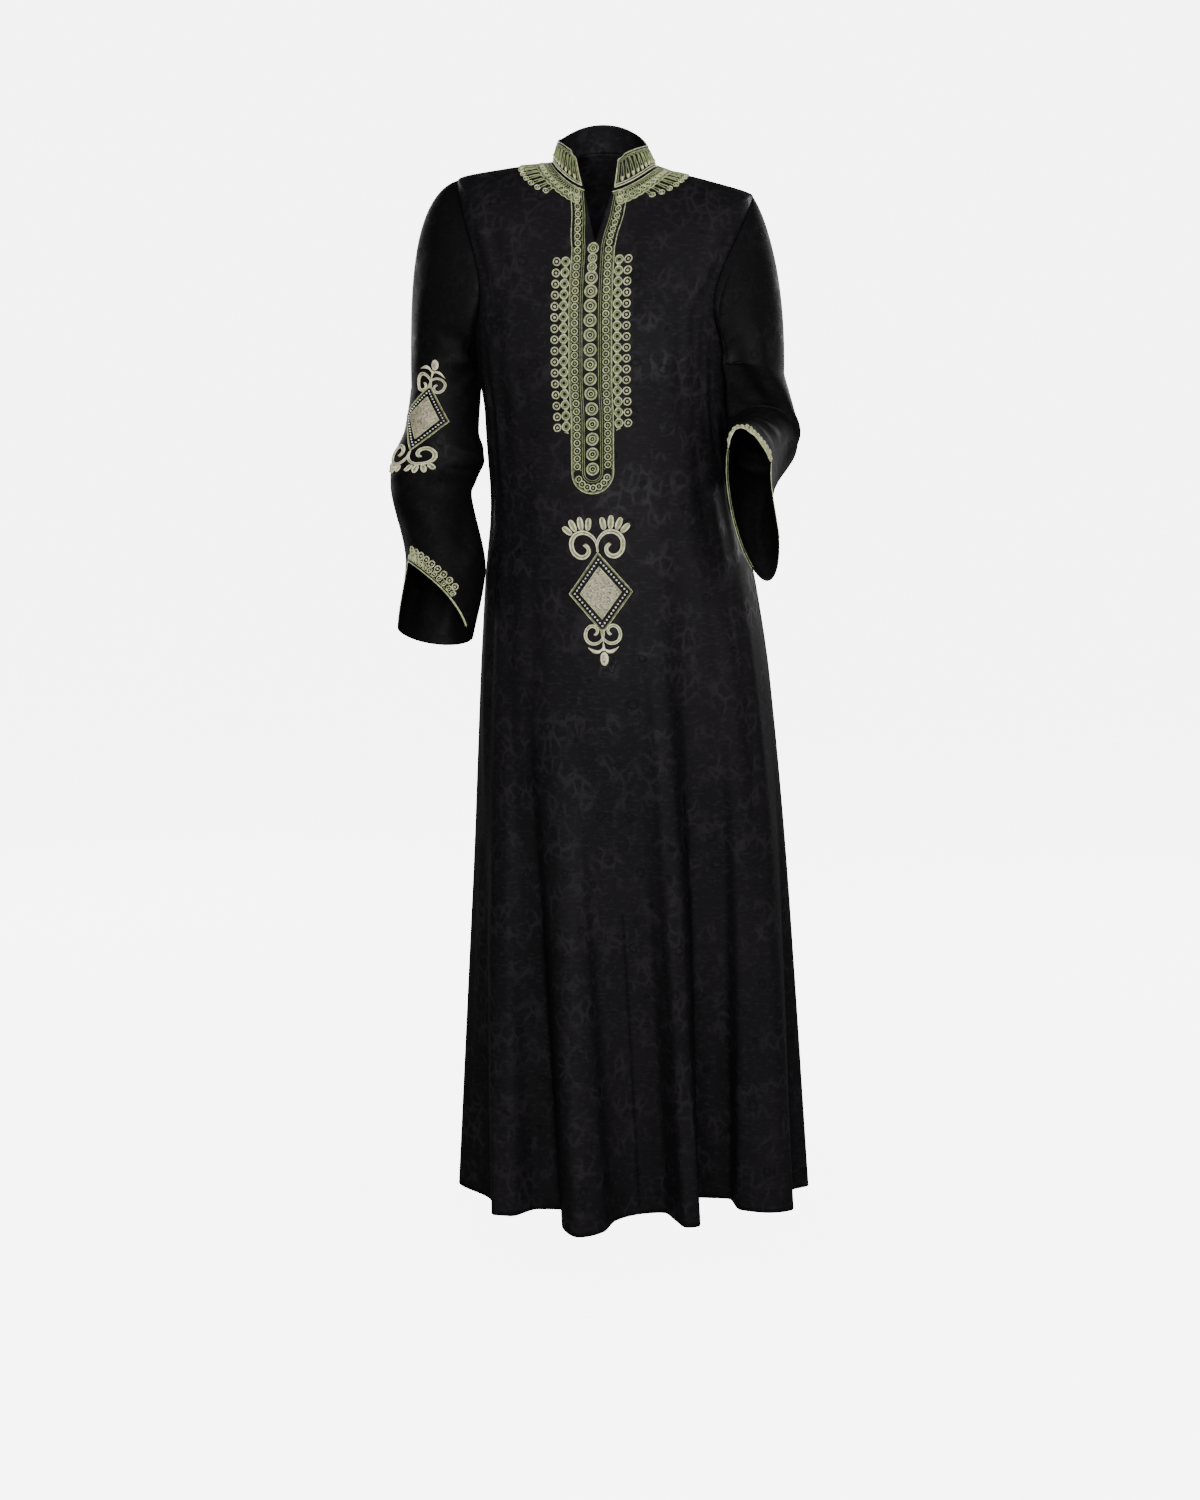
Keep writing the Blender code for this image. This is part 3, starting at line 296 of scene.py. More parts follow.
LEFT_SLEEVE_CREASES = (
    (0.270, 98, 0.420, 92, 0.590, 104, 13, -6.4, 0),
    (0.200, 122, 0.340, 122, 0.480, 134, 9.5, 3.6, 1),
    (0.060, 170, 0.190, 146, 0.300, 132, 10, -4, 0),
    (0.180, 66, 0.340, 62, 0.500, 60, 13, 3, -1),
    (0.480, 66, 0.560, 72, 0.620, 92, 10, 3, -1),
    (0.070, 24, 0.240, 22, 0.420, 20, 15, 1.8, 1),
    (0.660, 172, 0.690, 122, 0.645, 64, 8, 4, 1),
    (0.705, 168, 0.740, 116, 0.700, 50, 7, -3.2, 0),
    (0.740, 166, 0.775, 112, 0.735, 44, 7.5, 3.4, 1),
    (0.800, 160, 0.830, 108, 0.800, 44, 7, 2.6, 1),
    (0.870, 158, 0.885, 116, 0.880, 70, 6.5, 2, -1),
    (0.560, 30, 0.620, 14, 0.700, 6, 10, 2.8, 1),
    (0.600, -8, 0.680, -20, 0.790, -26, 11, 2.6, -1),
    (0.700, -50, 0.820, -62, 0.960, -60, 12, 2.6, 1),
    (0.660, -100, 0.800, -104, 0.950, -100, 14, 2.4, -1),
    (0.090, -60, 0.250, -70, 0.420, -76, 13, 2, -1),
    (0.060, -146, 0.200, -124, 0.330, -100, 10, -3.6, 0),
    (0.100, -170, 0.260, -146, 0.380, -116, 9, 3, -1),
    (0.440, -150, 0.500, -104, 0.470, -50, 10, 2.6, 1),
    (0.520, -160, 0.575, -112, 0.560, -50, 10, -3, 0),
    (0.590, -164, 0.640, -118, 0.640, -64, 11, 2.8, 1),
    (0.860, -130, 0.930, -134, 0.990, -130, 11, 2, 1),
    (0.470, 134, 0.600, 150, 0.730, 164, 11, 4.6, 0),
)
CREASE_UNIT = 0.001
CREASE_POINTS = 9
CREASE_REACH = 4
CREASE_END_CURVE = 0.7
HOLLOW_OFFSET = 1.7
HOLLOW_SHARE = 0.5
EDGE_FADE = 0.018
SLEEVE_EDGE_FADE = 0.05
SEAM_DENT = 0.0005
SEAM_REACH = 0.0022

# Grid counts of the cloth.
FRONT_HALF_COLUMNS = 84
BACK_COLUMNS = 156
SKIRT_ROWS = 168
ARMHOLE_ROWS = 40
SHOULDER_ROWS = 22
SLEEVE_ROWS = 120
CUFF_ROWS = 26
COLLAR_ROWS = 12
SKIRT_ROW_GROWTH = 1.15
HEM_SPACING_SHARE = 0.6
FINE_BEARINGS = 1441

# Kept off the last bearing, 270 degrees, so that it doesn't wrap round to -90.
SEAM_SLIP = 1e-7
# Points within one step of each other are welded, with this many steps to a metre.
WELD_STEPS = 2e6
TINY = 1e-9
LEAST_NORM = 1e-12


def in_scene(name, data):
    """A new object that holds this data, put into the scene."""
    thing = bpy.data.objects.new(name, data)
    bpy.context.scene.collection.objects.link(thing)
    return thing


def place_camera():
    azimuth, pitch = math.radians(CAMERA_AZIMUTH), math.radians(CAMERA_PITCH)
    data = bpy.data.cameras.new("camera")
    data.sensor_fit = "VERTICAL"
    data.sensor_height = CAMERA_SENSOR
    data.lens = CAMERA_LENS
    data.clip_end = CAMERA_CLIP_END
    camera = in_scene("camera", data)
    x, y = CAMERA_DISTANCE * math.sin(azimuth), -CAMERA_DISTANCE * math.cos(azimuth)
    camera.location = (x, y, CAMERA_Z)
    camera.rotation_euler = (math.pi / 2 - pitch, 0, azimuth)
    bpy.context.scene.camera = camera


def column_of(table, columns, name):
    return np.array([row[columns.index(name)] for row in table], float)


def curve_through(xs, ys, at):
    """A smooth curve through the points (xs, ys), xs rising, with no overshoot between them."""
    xs, ys, at = np.asarray(xs, float), np.asarray(ys, float), np.asarray(at, float)
    step = np.diff(xs)
    slope = np.diff(ys) / step
    before, after = slope[:-1], slope[1:]
    same_way = before * after > 0
    inner = np.where(same_way, 2 * before * after / np.where(same_way, before + after, 1), 0)
    tangent = np.concatenate([slope[:1], inner, slope[-1:]])
    k = np.clip(np.searchsorted(xs, at) - 1, 0, len(step) - 1)
    t = np.clip((at - xs[k]) / step[k], 0, 1)
    return (
        ys[k] * (1 + 2 * t) * (1 - t) ** 2
        + ys[k + 1] * t * t * (3 - 2 * t)
        + step[k] * (tangent[k] * t * (1 - t) ** 2 - tangent[k + 1] * t * t * (1 - t))
    )


def smooth(at, low, high):
    t = np.clip((np.asarray(at, float) - low) / (high - low), 0, 1)
    return t * t * (3 - 2 * t)


def unit(vectors):
    return vectors / np.maximum(np.linalg.norm(vectors, axis=-1, keepdims=True), LEAST_NORM)


def length_along(points):
    """Distance along a line of points, from its start to each of them."""
    return np.concatenate([[0], np.cumsum(np.linalg.norm(np.diff(points, axis=0), axis=1))])


def section_value(name, level):
    levels = column_of(SECTIONS, SECTION_COLUMNS, "level")
    return curve_through(levels, column_of(SECTIONS, SECTION_COLUMNS, name), level)


def plain_body_point(degrees, level):
    """A point of the body's outer face with no folds."""
    angle = np.radians(degrees)
    across, along = np.sin(angle), np.cos(angle)
    power = 2 / section_value("square", level)
    x = section_value("lean", level)
    x = x + section_value("half_width", level) * np.sign(across) * np.abs(across) ** power
    depth = np.where(along > 0, -section_value("front", level), section_value("back", level))
    far_z = np.where(along > 0, section_value("front_z", level), section_value("back_z", level))
    return np.stack([x, depth * np.abs(along) ** power, level + (far_z - level) * along**2], -1)


def hem_value(name, degrees):
    """A column of the fold table at a bearing, carried round the circle."""
    hips = column_of(HEM_FOLDS, HEM_COLUMNS, "hip_deg")
    values = column_of(HEM_FOLDS, HEM_COLUMNS, name)
    around = np.concatenate([hips[-3:] - 360, hips, hips[:3] + 360])
    carried = np.concatenate([values[-3:], values, values[:3]])
    return curve_through(around, carried, (np.asarray(degrees, float) + 90) % 360 - 90)


def body_point(degrees, level):
    """A point of the dress's outer face: the plain section, its folds and the shoulders' tilt."""
    degrees, level = np.broadcast_arrays(np.asarray(degrees, float), np.asarray(level, float))
    point = plain_body_point(degrees, level)
    start = hem_value("start", degrees)
    share = np.clip((start - level) / (start - HEM_LEVEL), 0, 1) ** FOLD_GROWTH
    hem = plain_body_point(degrees, np.full_like(level, HEM_LEVEL))
    point[..., 0] += share * (hem_value("x", degrees) - hem[..., 0])
    point[..., 1] += share * (hem_value("y", degrees) - hem[..., 1])
    point[..., 2] -= SHOULDER_TILT * point[..., 0] * smooth(level, TILT_START_LEVEL, TILT_FULL_LEVEL)
    return point


def armhole_share(level):
    share = (level - UNDERARM_LEVEL) / (SHOULDER_TIP_LEVEL - UNDERARM_LEVEL)
    return np.sin(math.pi * np.clip(share, 0, 1)) ** ARMHOLE_ROUNDNESS


def slit_degrees(level):
    """Half the slit's opening at a level: zero at its foot, and widest at the neck seam."""
    top = section_value("front_z", np.asarray(NECK_LEVEL))
    share = (section_value("front_z", level) - SLIT_BOTTOM_Z) / (top - SLIT_BOTTOM_Z)
    gap = SLIT_TOP_HALF_GAP * np.clip(share, 0, 1) / section_value("half_width", level)
    return np.degrees(np.arcsin(gap ** (section_value("square", level) / 2)))


def grid_levels():
    """The panels' rows from the hem to the neck seam."""
    down = np.linspace(1, 0, SKIRT_ROWS + 1)[:-1] ** SKIRT_ROW_GROWTH
    skirt = UNDERARM_LEVEL + (HEM_LEVEL - UNDERARM_LEVEL) * down
    turn = np.linspace(0, math.pi, ARMHOLE_ROWS + 1)
    rise = (SHOULDER_TIP_LEVEL - UNDERARM_LEVEL) / 2
    armhole = UNDERARM_LEVEL + rise * (1 - np.cos(turn))
    shoulder = np.linspace(SHOULDER_TIP_LEVEL, NECK_LEVEL, SHOULDER_ROWS + 1)[1:]
    return np.concatenate([skirt, armhole, shoulder])


def spread_columns(low, high, count):
    """Bearings from low to high, closer together where the hem's folds are."""
    fine = np.linspace(low, high, FINE_BEARINGS)
    length = length_along(np.stack([hem_value("x", fine), hem_value("y", fine)], -1))
    plain = (fine - low) / (high - low)
    mixed = HEM_SPACING_SHARE * length / length[-1] + (1 - HEM_SPACING_SHARE) * plain
    return np.interp(np.linspace(0, 1, count + 1), mixed, fine)


def sleeve_value(table, name, run):
    runs = column_of(table, SLEEVE_COLUMNS, "run")
    return curve_through(runs, column_of(table, SLEEVE_COLUMNS, name), run)


def sleeve_frame(table, side, run):
    """Centre, outward, forward and along directions of a sleeve's section."""
    names = ("out", "y", "z", "bend", "tilt")
    out, y, z, bend, tilt = (sleeve_value(table, name, run) for name in names)
    bend, tilt, zero = np.radians(bend), np.radians(tilt)[..., None], np.zeros_like(bend)
    outward = np.stack([zero + side, zero, zero], -1)
    forward = np.stack([zero, -np.cos(bend), np.sin(bend)], -1)
    along = np.stack([zero, -np.sin(bend), -np.cos(bend)], -1)
    leaned_out = np.cos(tilt) * outward + np.sin(tilt) * forward
    leaned_forward = np.cos(tilt) * forward - np.sin(tilt) * outward
    return np.stack([side * out, y, z], -1), leaned_out, leaned_forward, along


def clear_of_body(points, gap):
    """Moves what lies inside the body's section, or closer to it than gap, out to that distance."""
    height = points[..., 2]
    level = height + SHOULDER_TILT * points[..., 0] * smooth(height, TILT_START_LEVEL, TILT_FULL_LEVEL)
    across = points[..., 0] - section_value("lean", level)
    wide = section_value("half_width", level) + gap
    ahead = points[..., 1] < 0
    deep = np.where(ahead, section_value("front", level), section_value("back", level)) + gap
    square = section_value("square", level)
    reach = (np.abs(across / wide) ** square + np.abs(points[..., 1] / deep) ** square) ** (1 / square)
    grow = np.where(reach < 1, 1 / np.maximum(reach, LEAST_REACH), 1)
    moved = points.copy()
    moved[..., 0] += across * (grow - 1)
    moved[..., 1] *= grow
    return moved


def armhole_point(side, around):
    """The armhole seam, with around in degrees: 0 the shoulder tip, 90 front, 180 underarm, 270 back."""
    level = (SHOULDER_TIP_LEVEL + UNDERARM_LEVEL) / 2
    level = level + (SHOULDER_TIP_LEVEL - UNDERARM_LEVEL) / 2 * np.cos(np.radians(around))
    in_front = np.asarray(around) % 360 <= 180
    dip = np.where(in_front, FRONT_ARMHOLE_DIP, -BACK_ARMHOLE_DIP) * armhole_share(level)
    return body_point(side * (90 - dip), level)


def sleeve_point(table, side, run, around):
    """A point of a sleeve's outer face: run from the armhole (0) to the hem (1)."""
    run, around = np.broadcast_arrays(np.asarray(run, float), np.asarray(around, float))
    first = table[0][0]
    at = np.maximum(run, first)
    centre, outward, forward, along = sleeve_frame(table, side, at)
    turned = np.radians(around + sleeve_value(table, "roll", at))
    wide = sleeve_value(table, "half_wide", at)[..., None]
    deep = sleeve_value(table, "half_deep", at)[..., None]
    across, ahead = np.cos(turned)[..., None], np.sin(turned)[..., None]
    ring = centre + wide * across * outward + deep * ahead * forward
    seam = armhole_point(side, around)
    t = np.clip(run / first, 0, 1)[..., None]
    span = np.linalg.norm(ring - seam, axis=-1, keepdims=True)
    lift = np.cos(np.radians(around))[..., None]
    leave = unit(
        outward * SHOULDER_FULLNESS[side] * (1 + lift) / 2
        + forward * CAP_FORWARD * np.sin(np.radians(around))[..., None]
        + np.array([0, 0, -1.0]) * (CAP_DROP - CAP_DROP_CHANGE * lift)
    )
    cap = (
        seam * (1 + 2 * t) * (1 - t) ** 2 + ring * t * t * (3 - 2 * t)
        + span * (CAP_START_PULL * leave * t * (1 - t) ** 2 - CAP_END_PULL * along * t * t * (1 - t))
    )
    point = np.where(t < 1, cap, ring)
    cleared = clear_of_body(point, SLEEVE_CLEARANCE * smooth(run, 0, CLEARANCE_RUN))
    return np.where(run[..., None] > 0, cleared, seam)


def notch_edges(run):
    """The cuff notch's inner and outer edges, in degrees round the sleeve."""
    share = np.clip((run - NOTCH_START) / (1 - NOTCH_START), 0, 1)
    inner = NOTCH_DEG + (NOTCH_INNER_DEG - NOTCH_DEG) * share**NOTCH_INNER_CURVE
    outer = NOTCH_DEG + (NOTCH_OUTER_DEG - NOTCH_DEG) * share
    return inner, outer


def crease_field(s, h, creases):
    """Height of all creases at places (s, h) of a cloth, both in metres."""
    flat_s, flat_h = np.ravel(s), np.ravel(h)
    total = np.zeros(flat_s.size)
    t = np.linspace(0, 1, CREASE_POINTS)
    for s0, h0, s1, h1, s2, h2, width, height, lean in creases:
        line_s = (1 - t) ** 2 * s0 + 2 * t * (1 - t) * s1 + t * t * s2
        line_h = (1 - t) ** 2 * h0 + 2 * t * (1 - t) * h1 + t * t * h2
        reach = CREASE_REACH * width
        near = (flat_s > line_s.min() - reach) & (flat_s < line_s.max() + reach)
        near &= (flat_h > line_h.min() - reach) & (flat_h < line_h.max() + reach)
        if not near.any():
            continue
        a, b = flat_s[near][:, None], flat_h[near][:, None]
        ds, dh = np.diff(line_s), np.diff(line_h)
        k = np.clip(((a - line_s[:-1]) * ds + (b - line_h[:-1]) * dh) / (ds**2 + dh**2), 0, 1)
        off_s, off_h = a - line_s[:-1] - k * ds, b - line_h[:-1] - k * dh
        nearest = np.argmin(off_s**2 + off_h**2, axis=1)
        off_s, off_h, k = (values[np.arange(len(nearest)), nearest] for values in (off_s, off_h, k))
        way = np.sign(ds[nearest] * off_h - dh[nearest] * off_s)
        q = way * np.sqrt(off_s**2 + off_h**2) / width
        ridge = np.exp(-q * q) - HOLLOW_SHARE * abs(lean) * np.exp(-((q - HOLLOW_OFFSET * lean) ** 2))
        along = (nearest + k) / (CREASE_POINTS - 1)
        total[near] += height * np.sin(math.pi * along) ** CREASE_END_CURVE * ridge
    return total.reshape(np.shape(s))


def metres_a_degree(level):
    depth = (section_value("front", level) + section_value("back", level)) / 2
    return np.radians((section_value("half_width", level) + depth) / 2)


def in_metres(creases, place):
    """Creases in metres, with place giving a cloth's two lengths at each of a line's places."""
    rows = []
    for row in creases:
        places = [length for pair in zip(row[0:6:2], row[1:6:2]) for length in place(*pair)]
        rows.append((*places, row[6] * CREASE_UNIT, row[7] * CREASE_UNIT, row[8]))
    return rows


def on_body(degrees, level):
    return degrees * metres_a_degree(level), level


def on_sleeve(run, around):
    return np.radians(around) * SLEEVE_RADIUS, run * SLEEVE_LENGTH


BODY_ROWS = in_metres(BODY_CREASES, on_body)
SLEEVE_ROWS_OF = {
    -1: in_metres(RIGHT_SLEEVE_CREASES, on_sleeve),
    1: in_metres(LEFT_SLEEVE_CREASES, on_sleeve),
}


def edge_distance(degrees, level):
    """Metres from a place on a panel to its armhole or side seam."""
    bearing = np.abs((degrees + 180) % 360 - 180)
    ahead = bearing <= 90
    dip = np.where(ahead, FRONT_ARMHOLE_DIP, BACK_ARMHOLE_DIP) * armhole_share(level)
    from_middle = np.where(ahead, bearing, 180 - bearing)
    return np.maximum(90 - dip - from_middle, 0) * metres_a_degree(level)


def body_lift(degrees, level):
    """Height of the body's creases."""
    degrees, level = np.broadcast_arrays(degrees, level)
    field = crease_field(*on_body((degrees + 90) % 360 - 90, level), BODY_ROWS)
    return field * smooth(edge_distance(degrees, level), 0, EDGE_FADE)


def sleeve_lift(side, run, around):
    """Height of a sleeve's creases."""
    run, around = np.broadcast_arrays(run, around)
    wrapped = (around + 180) % 360 - 180
    turns = (-360, 0, 360)
    field = sum(crease_field(*on_sleeve(run, wrapped + turn), SLEEVE_ROWS_OF[side]) for turn in turns)
    return field * smooth(run, 0, SLEEVE_EDGE_FADE)


def dented(points, distance):
    """Points drawn in a little beside a seam."""
    inward = points * np.array([-1.0, -1.0, 0])
    return points + unit(inward) * (SEAM_DENT * np.exp(-((distance / SEAM_REACH) ** 2)))[..., None]


def grid_normals(grid):
    return unit(np.cross(np.gradient(grid, axis=1), np.gradient(grid, axis=0)))


def body_grid(degrees, levels):
    """A panel's points at bearings given for each row and column, and one level for each row."""
    levels = np.broadcast_to(levels, degrees.shape)
    base = body_point(degrees, levels)
    raised = base + grid_normals(base) * body_lift(degrees, levels)[..., None]
    return dented(raised, edge_distance(degrees, levels))


def front_grids():
    levels = grid_levels()[:, None]
    edge = 90 - FRONT_ARMHOLE_DIP * armhole_share(levels)
    opening = slit_degrees(levels)
    grids = []
    for side in (-1, 1):
        share = np.abs(spread_columns(0, 90 * side, FRONT_HALF_COLUMNS))[None, :] / 90
        degrees = side * (opening + share * (edge - opening))
        degrees = degrees if side > 0 else degrees[:, ::-1]
        grids.append(body_grid(degrees, levels))
    return grids


def back_grids():
    levels = grid_levels()[:, None]
    spread = spread_columns(90, 270, BACK_COLUMNS)[None, :]
    degrees = 180 + (spread - 180) / 90 * (90 - BACK_ARMHOLE_DIP * armhole_share(levels))
    degrees[:, -1] -= SEAM_SLIP
    return [body_grid(degrees, levels)]


def sleeve_grids(table, side):
    columns = np.linspace(0, 360, 2 * ARMHOLE_ROWS + 1)
    split = int(np.argmin(np.abs(columns - NOTCH_DEG)))
    turned = np.concatenate([columns[split:], columns[1 : split + 1] + 360])[None, :]
    runs = np.concatenate([
        np.linspace(0, NOTCH_START, SLEEVE_ROWS + 1)[:-1],
        np.linspace(NOTCH_START, 1, CUFF_ROWS + 1),
    ])[:, None]
    inner, outer = notch_edges(runs)
    around = inner + (turned - columns[split]) * (360 - (inner - outer)) / 360
    run = np.broadcast_to(runs, around.shape)
    base = sleeve_point(table, side, run, around)
    normals = grid_normals(base) * side
    closed = runs[:, 0] <= NOTCH_START + TINY
    joined = unit(normals[closed, 0] + normals[closed, -1])
    normals[closed, 0] = normals[closed, -1] = joined
    grid = base + normals * sleeve_lift(side, run, around)[..., None]
    grid = dented(grid, run * SLEEVE_LENGTH)
    grid[closed, -1] = grid[closed, 0]
    return [grid if side > 0 else grid[:, ::-1]]


def neck_row():
    """The neck seam from the slit's left edge, round the back, to its right edge."""
    opening = float(slit_degrees(np.array(NECK_LEVEL)))
    left, right = (
        side * (opening + np.abs(spread_columns(0, side * 90, FRONT_HALF_COLUMNS)) / 90 * (90 - opening))
        for side in (1, -1)
    )
    degrees = np.concatenate([left, spread_columns(90, 270, BACK_COLUMNS)[1:-1], right[::-1]])
    return body_point(degrees, np.full_like(degrees, NECK_LEVEL))


def collar_grid(neck):
    """Rows of the stand collar over the neck seam's points, leaning in as they rise."""
    centre = neck.mean(axis=0)
    length = length_along(neck)
    from_end = np.minimum(length, length[-1] - length)
    to_back = smooth(neck[:, 1], 0, neck[:, 1].max())
    to_front = smooth(-neck[:, 1], COLLAR_FRONT_START, -neck[:, 1].min())
    height = COLLAR_SIDE_HEIGHT + (COLLAR_BACK_HEIGHT - COLLAR_SIDE_HEIGHT) * to_back
    height += (COLLAR_FRONT_HEIGHT - COLLAR_SIDE_HEIGHT) * to_front
    radial = unit((neck - centre) * np.array([1, 1, 0]))
    rows = []
    for share in np.linspace(0, 1, COLLAR_ROWS + 1):
        row = neck - radial * COLLAR_LEAN * share**COLLAR_LEAN_CURVE
        row[:, 2] += height * share
        row[:, 0] += COLLAR_SHIFT * share
        sideways = np.sign(neck[:, 0] - centre[0]) * COLLAR_FRONT_SLOPE * share
        row[:, 0] += sideways * smooth(COLLAR_SLOPE_REACH - from_end, 0, COLLAR_SLOPE_REACH)
        rows.append(row)
    return np.array(rows)


def new_object(name, points, faces, materials, slots=None, marks=None):
    mesh = bpy.data.meshes.new(name)
    mesh.from_pydata([tuple(point) for point in points], [], [tuple(face) for face in faces])
    mesh.polygons.foreach_set("use_smooth", [True] * len(mesh.polygons))
    for material in materials:
        mesh.materials.append(material)
    if slots is not None:
        mesh.polygons.foreach_set("material_index", np.asarray(slots, np.int32))
    if marks is not None:
        corners = np.empty(len(mesh.loops), np.int32)
        mesh.loops.foreach_get("vertex_index", corners)
        layer = mesh.uv_layers.new(name="thread")
        layer.data.foreach_set("uv", np.asarray(marks, np.float32)[corners].ravel())
    mesh.update()
    return in_scene(name, mesh)


def cloth_object(name, grids, material):
    """One welded wall of cloth from grids of points, rows rising and columns to the right."""
    points, faces, start = [], [], 0
    for grid in grids:
        rows, columns = grid.shape[:2]
        index = np.arange(rows * columns).reshape(rows, columns) + start
        quads = np.stack([index[:-1, :-1], index[:-1, 1:], index[1:, 1:], index[1:, :-1]], -1)
        points.append(grid.reshape(-1, 3))
        faces.append(quads.reshape(-1, 4))
        start += rows * columns
    points, faces = np.concatenate(points), np.concatenate(faces)
    steps = np.round(points * WELD_STEPS).astype(np.int64)
    _, first, same = np.unique(steps, axis=0, return_index=True, return_inverse=True)
    whole = [
        [corner for k, corner in enumerate(face) if corner != face[k - 1]]
        for face in same.reshape(-1)[faces].tolist()
    ]
    thing = new_object(name, points[first], [face for face in whole if len(face) > 2], [material])
    wall = thing.modifiers.new("wall", "SOLIDIFY")
    wall.thickness = CLOTH_THICKNESS
    wall.offset = -1
    return thing


# Thread work: the slots of its threads, a ridge's and a dome's sections as shares of half their width
# and of their height, and the step from which a surface's normal is read.
STEP = 5e-4
GREEN, PALE, CREAM, SILVER, WHITE = range(5)
ACROSS = np.array([-1.0, -0.62, 0.0, 0.62, 1.0])
RISE = np.array([-0.5, 0.7, 1.0, 0.7, -0.5])
STRAND_END = 0.1
DOME_ACROSS = np.array([1.0, 0.78, 0.45])[:, None]
DOME_RISE = np.array([-0.5, 0.65, 0.93])[:, None]
LINE_STEP = 0.004
LEAST_STEP = 1e-5


class Threads:
    """Raised thread work on a chart: low ridges along paths, and domes."""

    def __init__(self):
        self.x, self.h, self.lift, self.marks, self.faces, self.slots = [], [], [], [], [], []
        self.count = 0

    def add(self, x, h, lift, marks, faces, slot):
        self.x.append(np.ravel(x))
        self.h.append(np.ravel(h))
        self.lift.append(np.ravel(lift))
        self.marks.append(marks)
        self.faces += [[corner + self.count for corner in face] for face in faces]
        self.slots += [slot] * len(faces)
        self.count += np.size(x)

    def strand(self, x, h, width, height, slot, closed=False):
        """A ridge along a path, in chart metres. width may differ along it."""
        x, h = np.asarray(x, float), np.asarray(h, float)
        count, rows = len(x), len(ACROSS)
        width = np.array(np.broadcast_to(width, count), float)
        scale = np.ones(count)
        if closed:
            dx, dh = (np.roll(values, -1) - np.roll(values, 1) for values in (x, h))
        else:
            dx, dh = np.gradient(x), np.gradient(h)
            scale[0] = scale[-1] = STRAND_END
        length = np.maximum(np.hypot(dx, dh), TINY)
        half = width[:, None] / 2 * ACROSS
        grid_x = x[:, None] + (-dh / length)[:, None] * half
        grid_h = h[:, None] + (dx / length)[:, None] * half
        run = np.concatenate([[0], np.cumsum(np.hypot(np.diff(x), np.diff(h)))])
        marks = np.stack([np.repeat(run, rows), np.ravel(half)], -1)
        faces = []
        for i in range(count if closed else count - 1):
            a, b = i * rows, (i + 1) % count * rows
            faces += [(a + k, b + k, b + k + 1, a + k + 1) for k in range(rows - 1)]
        self.add(grid_x, grid_h, height * RISE * scale[:, None], marks, faces, slot)

    def line(self, points, width, height, slot, closed=False, step=LINE_STEP):
        """A ridge along straight runs between points."""
        points = np.asarray(points, float)
        if closed:
            points = np.concatenate([points, points[:1]])
        length = length_along(points)
        count = max(int(length[-1] / step), 2)
        at = np.unique(np.concatenate([np.linspace(0, length[-1], count + 1), length]))
        at = at[np.concatenate([[True], np.diff(at) > LEAST_STEP])]
        at = at[:-1] if closed else at
        x, h = (np.interp(at, length, points[:, k]) for k in (0, 1))
        self.strand(x, h, width, height, slot, closed)

    def ring(self, x, h, radius, width, height, slot, count=16):
        turn = np.linspace(0, 2 * math.pi, count + 1)[:-1]
        self.strand(x + radius * np.sin(-turn), h + radius * np.cos(turn), width, height, slot, True)

    def dome(self, x, h, long, wide, degrees, height, slot, count=14):
        """An oval dome, long in the direction degrees, clockwise from up."""
        turn, a = np.linspace(0, 2 * math.pi, count + 1)[:-1], math.radians(degrees)
        u, v = (np.append(DOME_ACROSS * way, 0) for way in (long * np.cos(turn), wide * np.sin(-turn)))
        lift = np.append(np.broadcast_to(height * DOME_RISE, (len(DOME_RISE), count)), height)
        rings = np.arange(len(DOME_RISE) * count).reshape(-1, count)
        after = np.roll(rings, -1, axis=1)
        faces = np.stack([rings[:-1], after[:-1], after[1:], rings[1:]], -1).reshape(-1, 4).tolist()
        faces += [(*pair, rings.size) for pair in zip(rings[-1].tolist(), after[-1].tolist())]
        grid_x, grid_h = x + u * math.sin(a) + v * math.cos(a), h + u * math.cos(a) - v * math.sin(a)
        self.add(grid_x, grid_h, lift, np.stack([u, v], -1), faces, slot)

    def finish(self, name, chart, materials):
        """The threads as one object on a chart, which gives points and outward normals."""
        x, h, lift = (np.concatenate(values) for values in (self.x, self.h, self.lift))
        points, normals = chart(x, h)
        points = points + normals * lift[:, None]
        marks = np.concatenate(self.marks)
        return new_object(name, points, self.faces, materials, self.slots, marks)


def chart_of(surface, lift, place):
    """Points and normals of a creased surface at chart places."""
    def chart(x, h):
        a, b = place(x, h)
        right = surface(*place(x + STEP, h)) - surface(*place(x - STEP, h))
        upward = surface(*place(x, h + STEP)) - surface(*place(x, h - STEP))
        normals = unit(np.cross(right, upward))
        return surface(a, b) + normals * lift(a, b)[..., None], normals

    return chart


CHART_COUNT = 1500
CHART_LEVELS = np.linspace(HEM_LEVEL, NECK_LEVEL, CHART_COUNT)
CHART_HEIGHTS = section_value("front_z", CHART_LEVELS)


